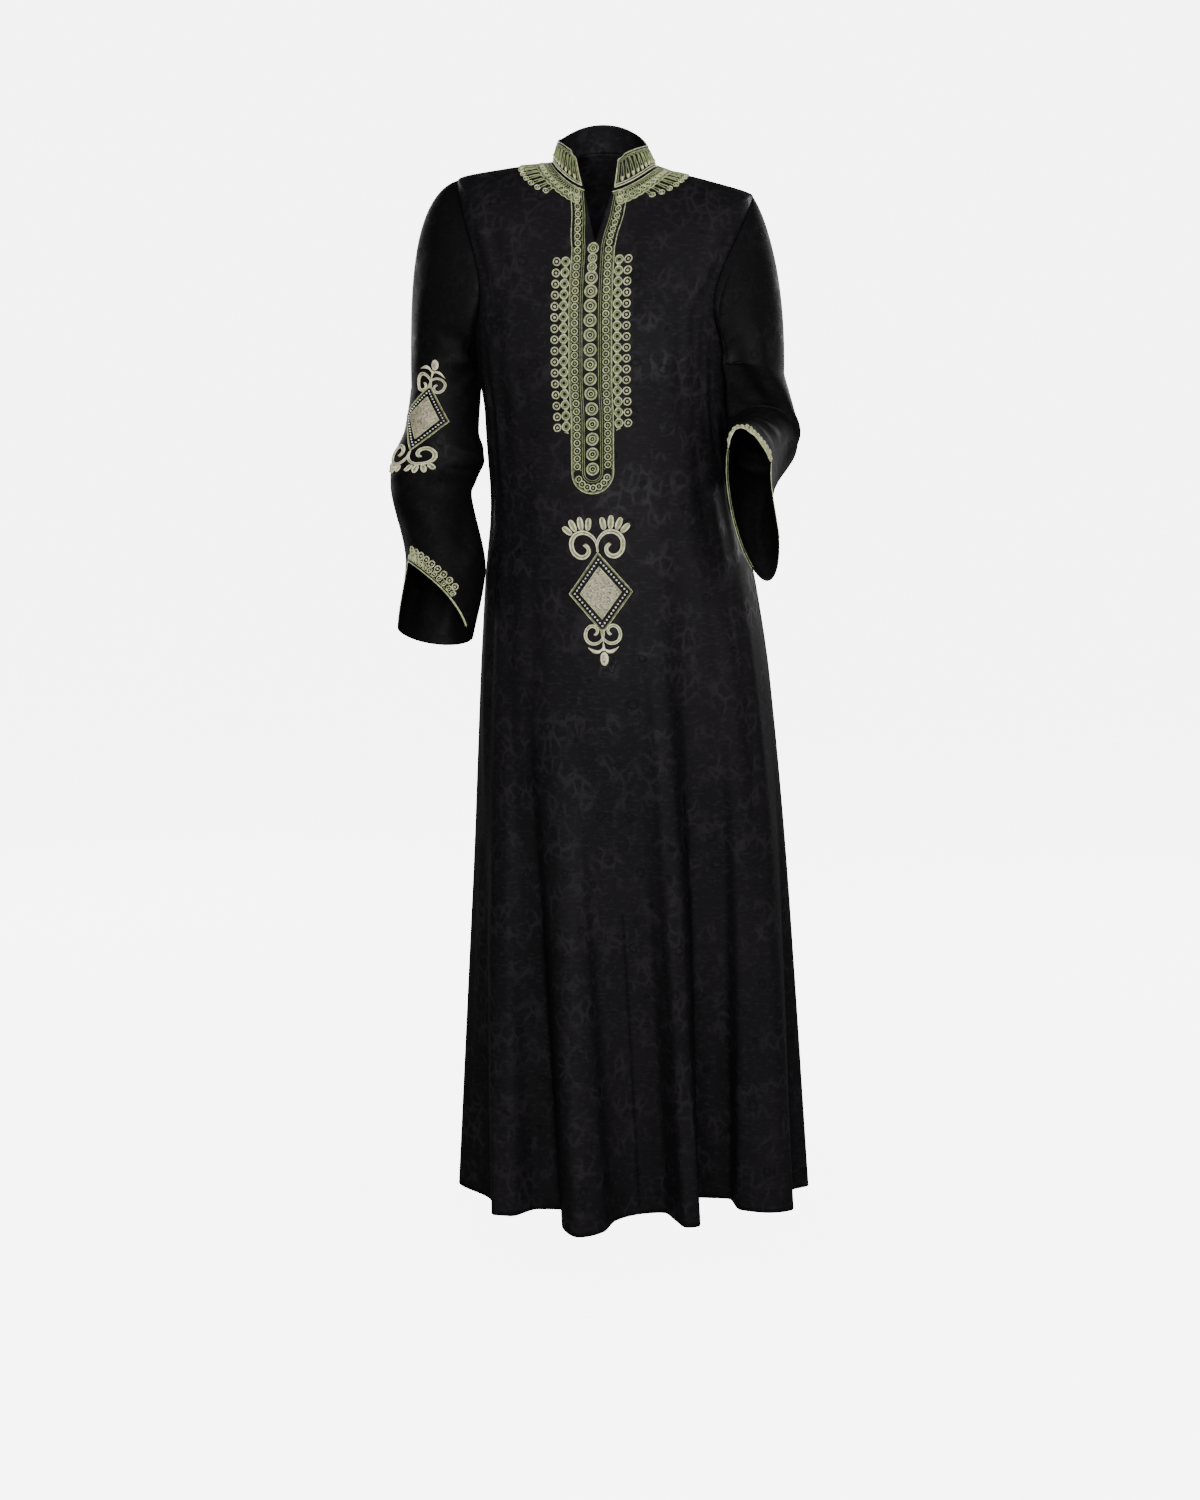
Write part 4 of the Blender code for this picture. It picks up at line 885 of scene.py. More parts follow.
def front_place(x, z):
    """Bearing and level of the front, x metres from its middle line where that line is at z."""
    x, z = np.broadcast_arrays(np.asarray(x, float), np.asarray(z, float))
    started = smooth(-z, TRIM_RISE_START, TRIM_RISE_FULL)
    lower = smooth(-z, TRIM_RISE_CHANGE_START, TRIM_RISE_CHANGE_END)
    rise = started * (TRIM_RISE_HIGH + (TRIM_RISE_LOW - TRIM_RISE_HIGH) * lower)
    level = np.interp(z + rise * x, CHART_HEIGHTS, CHART_LEVELS)
    offset = x + TRIM_SHIFT * started * (1 - lower)
    offset = offset + MIDDLE_LINE_SHIFT * smooth(-z, MIDDLE_SHIFT_START, MIDDLE_SHIFT_END)
    bulge = smooth(-z, BULGE_START, BULGE_MIDDLE) - smooth(-z, BULGE_MIDDLE, BULGE_END)
    offset = offset + BULGE_SHIFT * bulge
    share = np.abs(offset) / section_value("half_width", level)
    degrees = np.degrees(np.arcsin(share ** (section_value("square", level) / 2)))
    return np.sign(offset) * degrees, level


def bilinear(table, row, column):
    """Values of a table of points at fractional rows and columns."""
    r = np.clip(row, 0, table.shape[0] - 1 - TINY)
    c = np.clip(column, 0, table.shape[1] - 1 - TINY)
    r0, c0 = r.astype(int), c.astype(int)
    fr, fc = r - r0, c - c0
    if table.ndim == 3:
        fr, fc = fr[..., None], fc[..., None]
    return (
        table[r0, c0] * (1 - fr) * (1 - fc) + table[r0 + 1, c0] * fr * (1 - fc)
        + table[r0, c0 + 1] * (1 - fr) * fc + table[r0 + 1, c0 + 1] * fr * fc
    )


# The yoke's chart: its bearings, levels and distances down from the neck seam, and the distance down at
# which its length is read.
YOKE_BEARINGS = np.linspace(0, 360, 721)
YOKE_LEVELS = np.linspace(NECK_LEVEL, -0.02, 141)
YOKE_DEPTHS = np.linspace(0, 0.045, 91)
YOKE_MIDDLE = 0.012


def yoke_tables():
    """Length along the yoke at each bearing, and the level at each bearing and distance down."""
    bearing, level = np.meshgrid(YOKE_BEARINGS, YOKE_LEVELS, indexing="ij")
    down = [length_along(column) for column in body_point(bearing, level)]
    middle = np.array([np.interp(YOKE_MIDDLE, row, YOKE_LEVELS) for row in down])
    levels = np.array([np.interp(YOKE_DEPTHS, row, YOKE_LEVELS) for row in down])
    return length_along(body_point(YOKE_BEARINGS, middle)), levels


YOKE_ALONG, YOKE_LEVEL_TABLE = yoke_tables()


def yoke_place(x, h):
    """Bearing and level x metres round the yoke by the wearer's left and -h metres down it."""
    bearing = np.interp(x, YOKE_ALONG, YOKE_BEARINGS)
    column = -np.asarray(h) / YOKE_DEPTHS[1]
    return bearing, bilinear(YOKE_LEVEL_TABLE, bearing / YOKE_BEARINGS[1], column)


def sleeve_place(side, middle, turn_degrees, stretch):
    """Run and around at a place about a sleeve's point, turned and stretched along the sleeve."""
    turn = math.radians(turn_degrees)
    def place(x, h):
        across = x * math.cos(turn) + h * math.sin(turn)
        along = h * math.cos(turn) - x * math.sin(turn)
        around = middle[1] - side * np.degrees(across / SLEEVE_RADIUS)
        return middle[0] - along * stretch / SLEEVE_LENGTH, around

    return place


# A scroll's radius and width round its curl, from the diamond's point to its hooked end.
SCROLL_TURN = (-112, -60, -20, 20, 60, 100, 140, 180, 215, 245, 272, 292)
SCROLL_RADIUS = (
    0.0212, 0.0188, 0.0174, 0.0156, 0.0134, 0.0121, 0.0130, 0.0142, 0.0131, 0.0100, 0.0060, 0.0040
)
SCROLL_WIDTH = (
    0.0022, 0.0042, 0.0056, 0.0062, 0.0064, 0.0062, 0.0062, 0.0062, 0.0060, 0.0058, 0.0062, 0.0040
)
SCROLL_POINTS = 52
# Its strands: place across and width as shares of the band's width, height and thread.
SCROLL_STRANDS = ((0, 1.02, 0.0007, GREEN), (-0.31, 0.38, 0.0019, CREAM), (0.31, 0.38, 0.0019, CREAM))


def scroll(threads, x, h, scale, hand, up):
    """A curled satin band, two raised rows on a green ground, from the diamond to its hooked end."""
    degrees = np.linspace(SCROLL_TURN[0], SCROLL_TURN[-1], SCROLL_POINTS)
    turn = np.radians(degrees)
    reach = curve_through(SCROLL_TURN, SCROLL_RADIUS, degrees) * scale
    body = np.interp(degrees, SCROLL_TURN, SCROLL_WIDTH) * scale
    for offset, width, height, slot in SCROLL_STRANDS:
        line = reach + offset * body
        threads.strand(
            x + hand * line * np.sin(turn), h + up * line * np.cos(turn), body * width, height, slot
        )


# Each petal beside the middle line: x, h, turn and half its length.
PETALS = (
    (0.0357, 0.0766, 48, 0.0070),
    (0.0284, 0.0825, 26, 0.0078),
    (0.0187, 0.0846, 6, 0.0082),
    (0.0090, 0.0834, -9, 0.0078),
)
PETAL_HALF_WIDTH = 0.0042
PETAL_ROUNDNESS = 2.4
PETAL_GROUND = (0.92, 0.0009)
PETAL_ROW_PLACE = 0.62
PETAL_ROW_WIDTH = (0.0004, 0.54)
PETAL_ROW_HEIGHT = 0.0021


def petal(threads, x, h, long, degrees):
    """An oval petal of two rows of thread on a green ground, with a line between them."""
    a, t = math.radians(degrees), np.linspace(-1, 1, 13)
    spread = np.sqrt(np.maximum(1 - np.abs(t) ** PETAL_ROUNDNESS, 0))
    share, height = PETAL_GROUND
    threads.dome(x, h, long * share, PETAL_HALF_WIDTH * share, degrees, height, GREEN)
    least, grown = PETAL_ROW_WIDTH
    for way in (-1, 1):
        off = way * PETAL_HALF_WIDTH * PETAL_ROW_PLACE * spread
        row_x = x + long * t * math.sin(a) + off * math.cos(a)
        row_h = h + long * t * math.cos(a) - off * math.sin(a)
        width = least + PETAL_HALF_WIDTH * grown * spread
        threads.strand(row_x, row_h, width, PETAL_ROW_HEIGHT, CREAM)


# A motif's diamond: half its width and height, its lines (share of the size, width, height, thread),
# its dots (half length and width, height), and the rows of its filling with their wave.
DIAMOND_HALF = np.array([0.0390, 0.0490])
FILL_EDGE = 0.635
DIAMOND_LINES = (
    (1.0, 0.0012, 0.0012, PALE),
    (0.953, 0.0009, 0.0010, GREEN),
    (FILL_EDGE + 0.012, 0.0014, 0.0014, PALE),
)
DOT_LINE = 0.82
DOTS_A_SIDE = 11
DOT_LONG, DOT_WIDE, DOT_HEIGHT = 0.00130, 0.00125, 0.0016
FILL_ROWS = 46
FILL_REACH = 0.98
FILL_STEP = 0.0005
FILL_WAVE = 0.00030
FILL_TURN_A_STEP = 2.1
FILL_TURN_A_ROW = 1.3
FILL_WIDTH, FILL_HEIGHT = 0.0016, 0.0013
# Its scrolls, with x and h of their curl and their scale, and the leaves, stem, bud and drop beyond the
# small pair.
LARGE_SCROLLS = (0.0197, 0.0574, 0.97)
SMALL_SCROLLS = (0.0128, 0.0498, 0.70)
LEAF_START = (0.0008, 0.0667)
LEAF_LENGTH = 0.0185
LEAF_ARCH, LEAF_ARCH_CURVE, LEAF_FALL = 0.0052, 0.8, 0.0012
LEAF_WIDTH = (0.0003, 0.0050)
LEAF_SPAN, LEAF_CURVE = (0.10, 0.88), 1.2
STEM_H, STEM_LENGTH, STEM_WIDTH = 0.0505, 0.0065, 0.0012
BUD_X, BUD_H, BUD_LENGTH = 0.0002, 0.0570, 0.0135
BUD_WIDTH, BUD_CURVE = (0.0006, 0.0052), 1.3
DROP_X, DROP_H = 0.0006, 0.0800
DROP = ((0.0092, 0.0056, 0.0016, CREAM), (0.0064, 0.0035, 0.0022, SILVER))


def motif(up):
    """A diamond with a large pair of scrolls and petals at one end and a small pair at the other."""
    threads = Threads()
    corners = DIAMOND_HALF * [(0, 1), (1, 0), (0, -1), (-1, 0)]
    for share, width, height, slot in DIAMOND_LINES:
        threads.line(corners * share, width, height, slot, True)
    dots = corners * DOT_LINE
    for start, end in zip(dots, np.roll(dots, -1, axis=0)):
        way = math.degrees(math.atan2(*(end - start)))
        for share in np.arange(DOTS_A_SIDE) / DOTS_A_SIDE:
            x, h = start + (end - start) * share
            threads.dome(x, h, DOT_LONG, DOT_WIDE, way, DOT_HEIGHT, WHITE, 8)
    for k, share in enumerate(np.linspace(-FILL_REACH, FILL_REACH, FILL_ROWS)):
        reach = (1 - abs(share)) * DIAMOND_HALF[0] * FILL_EDGE
        count = 2 * max(int(reach / FILL_STEP), 2)
        wave = FILL_WAVE * np.sin(np.arange(count) * FILL_TURN_A_STEP + FILL_TURN_A_ROW * k)
        x, h = np.linspace(-reach, reach, count), DIAMOND_HALF[1] * FILL_EDGE * share + wave
        threads.strand(x, h, FILL_WIDTH, FILL_HEIGHT, SILVER)
    t = np.linspace(0, 1, 16)
    leaf_x = LEAF_START[0] + LEAF_LENGTH * t
    leaf_h = LEAF_START[1] + LEAF_ARCH * np.sin(math.pi * t**LEAF_ARCH_CURVE) - LEAF_FALL * t
    bulge = np.sin(math.pi * (LEAF_SPAN[0] + LEAF_SPAN[1] * t)) ** LEAF_CURVE
    leaf_width = LEAF_WIDTH[0] + LEAF_WIDTH[1] * bulge
    for hand in (-1, 1):
        x, h, scale = LARGE_SCROLLS
        scroll(threads, hand * x, up * h, scale, hand, up)
        for x, h, tilt, long in PETALS:
            petal(threads, hand * x, up * h, long, hand * up * tilt + (0 if up > 0 else 180))
        x, h, scale = SMALL_SCROLLS
        scroll(threads, hand * x, -up * h, scale, hand, -up)
        threads.strand(hand * leaf_x, -up * leaf_h, leaf_width, 0.0016, CREAM)
    t = np.linspace(0, 1, 9)
    threads.strand(0 * t, -up * (STEM_H + STEM_LENGTH * t), STEM_WIDTH, 0.0012, PALE)
    bud_width = BUD_WIDTH[0] + BUD_WIDTH[1] * t**BUD_CURVE
    threads.strand(BUD_X + 0 * t, -up * (BUD_H + BUD_LENGTH * t), bud_width, 0.0017, CREAM)
    for long, wide, height, slot in DROP:
        threads.dome(DROP_X, -up * DROP_H, long, wide, 0, height, slot)
    return threads


# Rows of the front's thread work, in metres from the middle line and in height.
MIDDLE_X = 0.0010
ROUNDEL_Z = (
    -0.0855, -0.0972, -0.1078, -0.1200, -0.1360, -0.1530, -0.1700, -0.1870, -0.2042,
    -0.2215, -0.2388, -0.2560, -0.2740, -0.2920, -0.3100, -0.3280, -0.3460,
)
PLACKET_TOP_Z = -0.084
PLACKET_FOOT_Z = -0.3500
WING_TOP_Z = -0.1010
WING_FOOT_Z = -0.2930
WING_COUNT = 16
CHAIN_PITCH = 0.0094
CHAIN_LINE = 0.0187
CHAIN_LEAD = 0.0040
CHAIN_RADIUS = 0.0044
BEAD_OFF = 0.0040
LINE_HEIGHT = 0.0011
CIRCLE_RING, CIRCLE_MIDDLE = 0.82, 0.36
# Roundels: sizes of the first ones and of the rest, and rings (radius and width as shares of the size,
# height, thread, points).
FIRST_ROUNDEL_SIZES = (0.0070, 0.0058, 0.0060)
ROUNDEL_SIZE = 0.0080
ROUNDEL_RINGS = (
    (0.88, 0.22, 0.0015, PALE, 22),
    (0.70, 0.12, 0.0009, GREEN, 20),
    (0.42, 0.20, 0.0014, PALE, 16),
)
ROUNDEL_EYE = 0.11
EYE_SHIFT = 0.0002
# Lines: distance from the middle line (or from a slit band's inner edge), width and thread.
PLACKET_LINES = (
    (0.0099, 0.0010, GREEN), (0.0123, 0.0010, GREEN), (0.0256, 0.0013, PALE), (0.0240, 0.0008, GREEN)
)
SLIT_LINES = ((0.0005, 0.0010, GREEN), (0.0029, 0.0010, GREEN), (0.0165, 0.0012, PALE))
SLIT_TOP_Z = -0.0215
SLIT_PITCH = 0.0080
SLIT_CHAIN = 0.0089
SLIT_EDGE_FOOT, SLIT_EDGE_SPREAD, SLIT_EDGE_REACH = 0.0094, 0.0062, 0.043
# Wings: rings (radius, width, height, thread, points), a drop and an arc below them, and a circle joined
# to them by a bar.
WING_RING_X = 0.0321
WING_RINGS = ((0.0047, 0.0018, 0.0016, PALE, 16), (0.0027, 0.0015, 0.0013, GREEN, 12))
WING_DROP_FALL = 0.0064
WING_ARC_X, WING_ARC_OUT, WING_ARC_HALF = 0.0290, 0.0024, 0.0020
WING_CIRCLE_X, WING_CIRCLE_FALL, WING_CIRCLE_RADIUS = 0.0430, 0.0008, 0.0051
WING_BAR = ((0.0365, 0.0002), (0.0395, 0.0006))


def u_line(threads, half, width, slot):
    """A line down one side of the placket, round its foot and up the other."""
    turn = np.linspace(0, math.pi, 17)[1:-1]
    down = np.linspace(PLACKET_TOP_Z, PLACKET_FOOT_Z, 60)
    side = np.full_like(down, half)
    x = np.concatenate([-side, -half * np.cos(turn), side])
    h = np.concatenate([down, PLACKET_FOOT_Z - half * np.sin(turn), down[::-1]])
    threads.strand(MIDDLE_X + x, h, width, LINE_HEIGHT, slot)


def circle(threads, x, h, radius, middle):
    """A worked circle: a pale ring round a dark gap, with a middle of its own thread."""
    inner = radius * CIRCLE_MIDDLE
    threads.ring(x, h, radius * CIRCLE_RING, inner, 0.0016, PALE, 16)
    threads.dome(x, h, inner, inner, 0, 0.0014, middle, 8)


def beads(threads, places, long, wide, slots):
    """Small domes at places, each of its own thread."""
    for (x, h), slot in zip(places, slots):
        threads.dome(x, h, long, wide, 0, 0.0010, slot, 6)


def slit_inner(z):
    """Distance of the slit bands' inner edge from the middle line."""
    share = np.clip((z - PLACKET_TOP_Z) / SLIT_EDGE_REACH, 0, 1.6)
    return SLIT_EDGE_FOOT + SLIT_EDGE_SPREAD * share


def placket():
    """The braid below the slit with its wings, and the bands beside the slit."""
    threads = Threads()
    for k, z in enumerate(ROUNDEL_Z):
        size = FIRST_ROUNDEL_SIZES[k] if k < len(FIRST_ROUNDEL_SIZES) else ROUNDEL_SIZE
        for share, thick, height, slot, count in ROUNDEL_RINGS:
            threads.ring(MIDDLE_X, z, size * share, size * thick, height, slot, count)
        eye = size * ROUNDEL_EYE
        threads.dome(MIDDLE_X + EYE_SHIFT, z - EYE_SHIFT, eye, eye, 0, 0.0012, CREAM, 6)
    for line in PLACKET_LINES:
        u_line(threads, *line)
    turn = np.linspace(0, math.pi, 9)[1:-1]
    heights = np.arange(PLACKET_TOP_Z - CHAIN_LEAD, PLACKET_FOOT_Z, -CHAIN_PITCH)
    places = [(side * CHAIN_LINE, z) for side in (-1, 1) for z in heights]
    places += [(-CHAIN_LINE * math.cos(a), PLACKET_FOOT_Z - CHAIN_LINE * math.sin(a)) for a in turn]
    for x, z in places:
        circle(threads, MIDDLE_X + x, z, CHAIN_RADIUS, GREEN)
    arc = np.linspace(-1, 1, 7)
    rise = np.linspace(PLACKET_TOP_Z, SLIT_TOP_Z, 30)
    for side in (-1, 1):
        for z in heights - CHAIN_PITCH / 2:
            beside = [(MIDDLE_X + side * CHAIN_LINE + off, z) for off in (-BEAD_OFF, BEAD_OFF)]
            beads(threads, beside, 0.0013, 0.0008, (GREEN, GREEN))
        for z in np.linspace(WING_TOP_Z, WING_FOOT_Z, WING_COUNT):
            inner_x = MIDDLE_X + side * WING_RING_X
            for ring in WING_RINGS:
                threads.ring(inner_x, z, *ring)
            low = z - WING_DROP_FALL
            threads.dome(inner_x, low, 0.0016, 0.0026, 0, 0.0012, GREEN, 8)
            x = MIDDLE_X + side * WING_CIRCLE_X
            circle(threads, x, z - WING_CIRCLE_FALL, WING_CIRCLE_RADIUS, SILVER)
            bar = [(MIDDLE_X + side * x, z - fall) for x, fall in WING_BAR]
            threads.line(bar, 0.0026, LINE_HEIGHT, GREEN)
            arc_x = MIDDLE_X + side * (WING_ARC_X + WING_ARC_OUT * (1 - arc**2))
            threads.strand(arc_x, low + WING_ARC_HALF * arc, 0.0014, LINE_HEIGHT, PALE)
        for offset, width, slot in SLIT_LINES:
            x = MIDDLE_X + side * (slit_inner(rise) + offset)
            threads.strand(x, rise, width, LINE_HEIGHT, slot)
        for z in np.arange(PLACKET_TOP_Z + 0.0046, SLIT_TOP_Z - 0.0010, SLIT_PITCH):
            x = MIDDLE_X + side * (float(slit_inner(z)) + SLIT_CHAIN)
            circle(threads, x, z, 0.0039, GREEN)
            beside = [(x + off, z + SLIT_PITCH / 2) for off in (-BEAD_OFF, BEAD_OFF)]
            beads(threads, beside, 0.0013, 0.0009, (GREEN, GREEN))
    return threads


# The yoke: its first place round the neck, its lines (distance down, width, thread), scallops and
# circles at one pitch, small chevrons at another, and fingers of growing and falling length.
YOKE_START = 0.0215
YOKE_LINES = (
    (0.0030, 0.0013, PALE), (0.0052, 0.0011, GREEN), (0.0106, 0.0011, GREEN), (0.0194, 0.0009, GREEN)
)
YOKE_PITCH = 0.0080
SCALLOP_TOP, SCALLOP_DEPTH = 0.0204, 0.0011
CHEVRON_PITCH = 0.0036
CHEVRON = ((0.0, -0.0060), (0.0012, -0.0080), (0.0, -0.0100))
FINGER_START = 0.0560
FINGER_TOP = 0.0212
FINGER_PITCH = 0.0086
FINGER_LENGTHS = (0.0090, 0.0140, 0.0170, 0.0190, 0.0200, 0.0200, 0.0190, 0.0170, 0.0140, 0.0090)


def yoke():
    """The band round the neck seam, with fingers of thread over each shoulder."""
    threads = Threads()
    total = YOKE_ALONG[-1]
    start, stop = YOKE_START, total - YOKE_START
    x = np.linspace(start, stop, 280)
    for depth, width, slot in YOKE_LINES:
        threads.strand(x, np.full_like(x, -depth), width, 0.0012, slot)
    scallops = SCALLOP_TOP + SCALLOP_DEPTH * np.abs(np.sin((x - start) / YOKE_PITCH * math.pi))
    threads.strand(x, -scallops, 0.0014, 0.0012, PALE)
    for at in np.arange(start + YOKE_PITCH / 2, stop, YOKE_PITCH):
        circle(threads, at, -0.0150, 0.0038, GREEN)
        between = at + YOKE_PITCH / 2
        beads(threads, ((between, -0.0122), (between, -0.0178)), 0.0012, 0.0009, (PALE, GREEN))
    for at in np.arange(start + 0.002, stop, CHEVRON_PITCH):
        threads.line([(at + x, h) for x, h in CHEVRON], 0.0013, 0.0012, GREEN)
    t = np.linspace(0, 1, 9)
    for side in (-1, 1):
        for k, long in enumerate(FINGER_LENGTHS):
            at = FINGER_START + FINGER_PITCH * k
            at = at if side > 0 else total - at
            for off in (-0.0015, 0.0015):
                x, h = at + off * (0.8 + 0.4 * t), -FINGER_TOP - (long - 0.0030) * t
                threads.strand(x, h, 0.0011, 0.0013, GREEN)
            circle(threads, at, -FINGER_TOP - long, 0.0036, SILVER)
    return threads


# The collar: the cords' inset and heights (above the foot or below the top), and petals at one pitch.
COLLAR_INSET = 0.0020
COLLAR_FOOT = 0.0024
COLLAR_TOP_GAP = 0.0016
COLLAR_PITCH = 0.0074
PETAL_FOOT, PETAL_TOP_GAP = 0.0098, 0.0066
NET_HALF, NET_DEPTH = 0.0037, 0.0017


def collar_threads(length, height):
    """Cords along the collar's edges, and upright petals with small nets over them."""
    threads = Threads()
    x = np.linspace(COLLAR_INSET, length - COLLAR_INSET, 240)
    foot, top = COLLAR_FOOT + 0 * x, height(x) - COLLAR_TOP_GAP
    for h, width, slot in (
        (foot, 0.0018, CREAM), (foot + 0.0029, 0.0019, PALE),
        (top, 0.0017, PALE), (top - 0.0026, 0.0012, GREEN),
    ):
        threads.strand(x, h, width, 0.0016, slot)
    for last in (False, True):
        for offset, width, slot in ((0.0, 0.0020, PALE), (0.0027, 0.0012, GREEN)):
            at = COLLAR_INSET + offset
            at = length - at if last else at
            ends = [(at, COLLAR_FOOT), (at, float(height(at)) - COLLAR_TOP_GAP)]
            threads.line(ends, width, 0.0016, slot, step=0.002)
    t, net = np.linspace(0, 1, 12), np.linspace(-1, 1, 9)
    spread = 0.0018 * (1 - t) ** 0.6 + 0.0003
    for at in np.arange(0.0100, length - 0.008, COLLAR_PITCH):
        low, far = PETAL_FOOT, float(height(at)) - PETAL_TOP_GAP
        for way in (-1, 1):
            threads.strand(at + way * spread, low + (far - low) * t, 0.0011, 0.0014, GREEN)
        threads.dome(at, low, 0.0034, 0.0020, 0, 0.0018, PALE, 10)
        threads.dome(at, low, 0.0024, 0.0013, 0, 0.0023, CREAM, 8)
        for middle, way, width, rise in ((0.0021, -1, 0.0012, 0.0012), (-0.0008, 1, 0.0010, 0.0011)):
            h = far + middle + way * NET_DEPTH * np.abs(net)
            threads.strand(at + NET_HALF * net, h, width, rise, GREEN)
    return threads


# Each cuff's rows of circles: distance from the edge, radius, pitch and start.
CUFF_ROWS_OF = {
    -1: ((0.0068, 0.0036, 0.0080, 0.002), (0.0142, 0.0046, 0.0096, -0.001)),
    1: ((0.0052, 0.0026, 0.0062, 0.002), (0.0098, 0.0029, 0.0070, 0.000)),
}
CUFF_STRIP_END = {-1: 0.945, 1: 0.985}
CUFF_STRIP_START = NOTCH_START - 0.004
CUFF_STRIP_LINES = (0.0031, 0.0100)
HEM_CORD_RUN = 0.998
HEM_CORD_END = 270.0


def cuff_threads(side, table):
    """Two rows of worked circles along a notch's inner edge, and a fine cord along both edges."""
    threads = Threads()
    runs = np.linspace(CUFF_STRIP_START, HEM_CORD_RUN, 60)
    inner, outer = notch_edges(runs)
    for edge, width, height in ((inner + 1.2, 0.0016, 0.0013), (outer - 1.2, 0.0007, 0.0008)):
        x, run = on_sleeve(runs, -side * edge)
        threads.strand(x, -run, width, height, PALE)
    if side > 0:
        around = np.linspace(NOTCH_INNER_DEG, HEM_CORD_END, 60)
        for height in (0.0008, -0.0019):
            x, run = on_sleeve(np.full_like(around, HEM_CORD_RUN), -around)
            threads.strand(x, -run, 0.0006, height, GREEN)
    fine = np.linspace(CUFF_STRIP_START, CUFF_STRIP_END[side], 120)
    around = notch_edges(fine)[0]
    x, run = on_sleeve(fine, -side * around)
    dx, dh = np.gradient(x), np.gradient(-run)
    across_x, across_h = side * dh / np.hypot(dx, dh), -side * dx / np.hypot(dx, dh)
    length = length_along(sleeve_point(table, side, fine, around))
    for offset in CUFF_STRIP_LINES:
        threads.strand(x + across_x * offset, across_h * offset - run, 0.0010, LINE_HEIGHT, GREEN)
    for offset, radius, pitch, lead in CUFF_ROWS_OF[side]:
        for at in np.arange(lead, length[-1], pitch):
            places = (x + across_x * offset, across_h * offset - run)
            circle(threads, *(np.interp(at, length, values) for values in places), radius, SILVER)
    return threads


def nodes_of(name):
    material = bpy.data.materials.new(name)
    material.use_nodes = True
    tree = material.node_tree
    return material, tree, tree.nodes["Principled BSDF"]


def add_node(tree, kind, values=None, **settings):
    node = tree.nodes.new("ShaderNode" + kind)
    for key, value in settings.items():
        setattr(node, key, value)
    for key, value in (values or {}).items():
        node.inputs[key].default_value = value
    return node


def linked(tree, source, node, socket, output=0):
    """A node's output, with source linked to one of its sockets."""
    tree.links.new(source, node.inputs[socket])
    return node.outputs[output]


def ramp(tree, source, low, high, to_low, to_high):
    values = {"From Min": low, "From Max": high, "To Min": to_low, "To Max": to_high}
    node = add_node(tree, "MapRange", values, interpolation_type="SMOOTHSTEP")
    return linked(tree, source, node, "Value")


def noise(tree, place, scale, detail, output="Fac"):
    return linked(tree, place, add_node(tree, "TexNoise", {"Scale": scale, "Detail": detail}), 0, output)


def cells(tree, place, scale, randomness, feature, output):
    values = {"Scale": scale, "Randomness": randomness}
    return linked(tree, place, add_node(tree, "TexVoronoi", values, feature=feature), 0, output)


def stretched(tree, place, factors):
    return linked(tree, place, add_node(tree, "VectorMath", {1: factors}, operation="MULTIPLY"), 0)


def bumped(tree, shader, height, strength, distance):
    bump = add_node(tree, "Bump", {"Strength": strength, "Distance": distance})
    tree.links.new(linked(tree, height, bump, "Height"), shader.inputs["Normal"])


def calculate(tree, operation, a, b):
    node = add_node(tree, "Math", operation=operation)
    for value, socket in ((a, node.inputs[0]), (b, node.inputs[1])):
        if isinstance(value, (int, float)):
            socket.default_value = value
        else:
            tree.links.new(value, socket)
    return node.outputs[0]


def mixed(tree, factor, a, b):
    node = add_node(tree, "Mix", data_type="RGBA")
    tree.links.new(factor, node.inputs["Factor"])
    sockets = {socket.name: socket for socket in node.inputs if socket.type == "RGBA"}
    for value, socket in ((a, sockets["A"]), (b, sockets["B"])):
        if isinstance(value, tuple):
            socket.default_value = value
        else:
            tree.links.new(value, socket)
    return [socket for socket in node.outputs if socket.type == "RGBA"][0]


# The black cloth's colours, before each cloth's own depth. The lighter of the two ground colours is
# painted sheen, laid over soft random patches.
CLOTH_DARK, CLOTH_PAINTED_SHEEN = (0.0078, 0.0070, 0.0080), (0.0112, 0.0098, 0.0112)
STROKE_TONE = (0.0240, 0.0214, 0.0248)
# The veins' colour shows the woven figure and is also painted sheen: lighter than the cloth, as if
# catching the light.
VEIN_FIGURE_AND_SHEEN_TONE = (0.0290, 0.0262, 0.0300)
RING_TONE = (0.0038, 0.0034, 0.0042)
GRAIN_TONE = (0.0175, 0.0155, 0.0178)
CLOTH_ROUGHNESS = 0.60
CLOTH_SPECULAR = 0.062


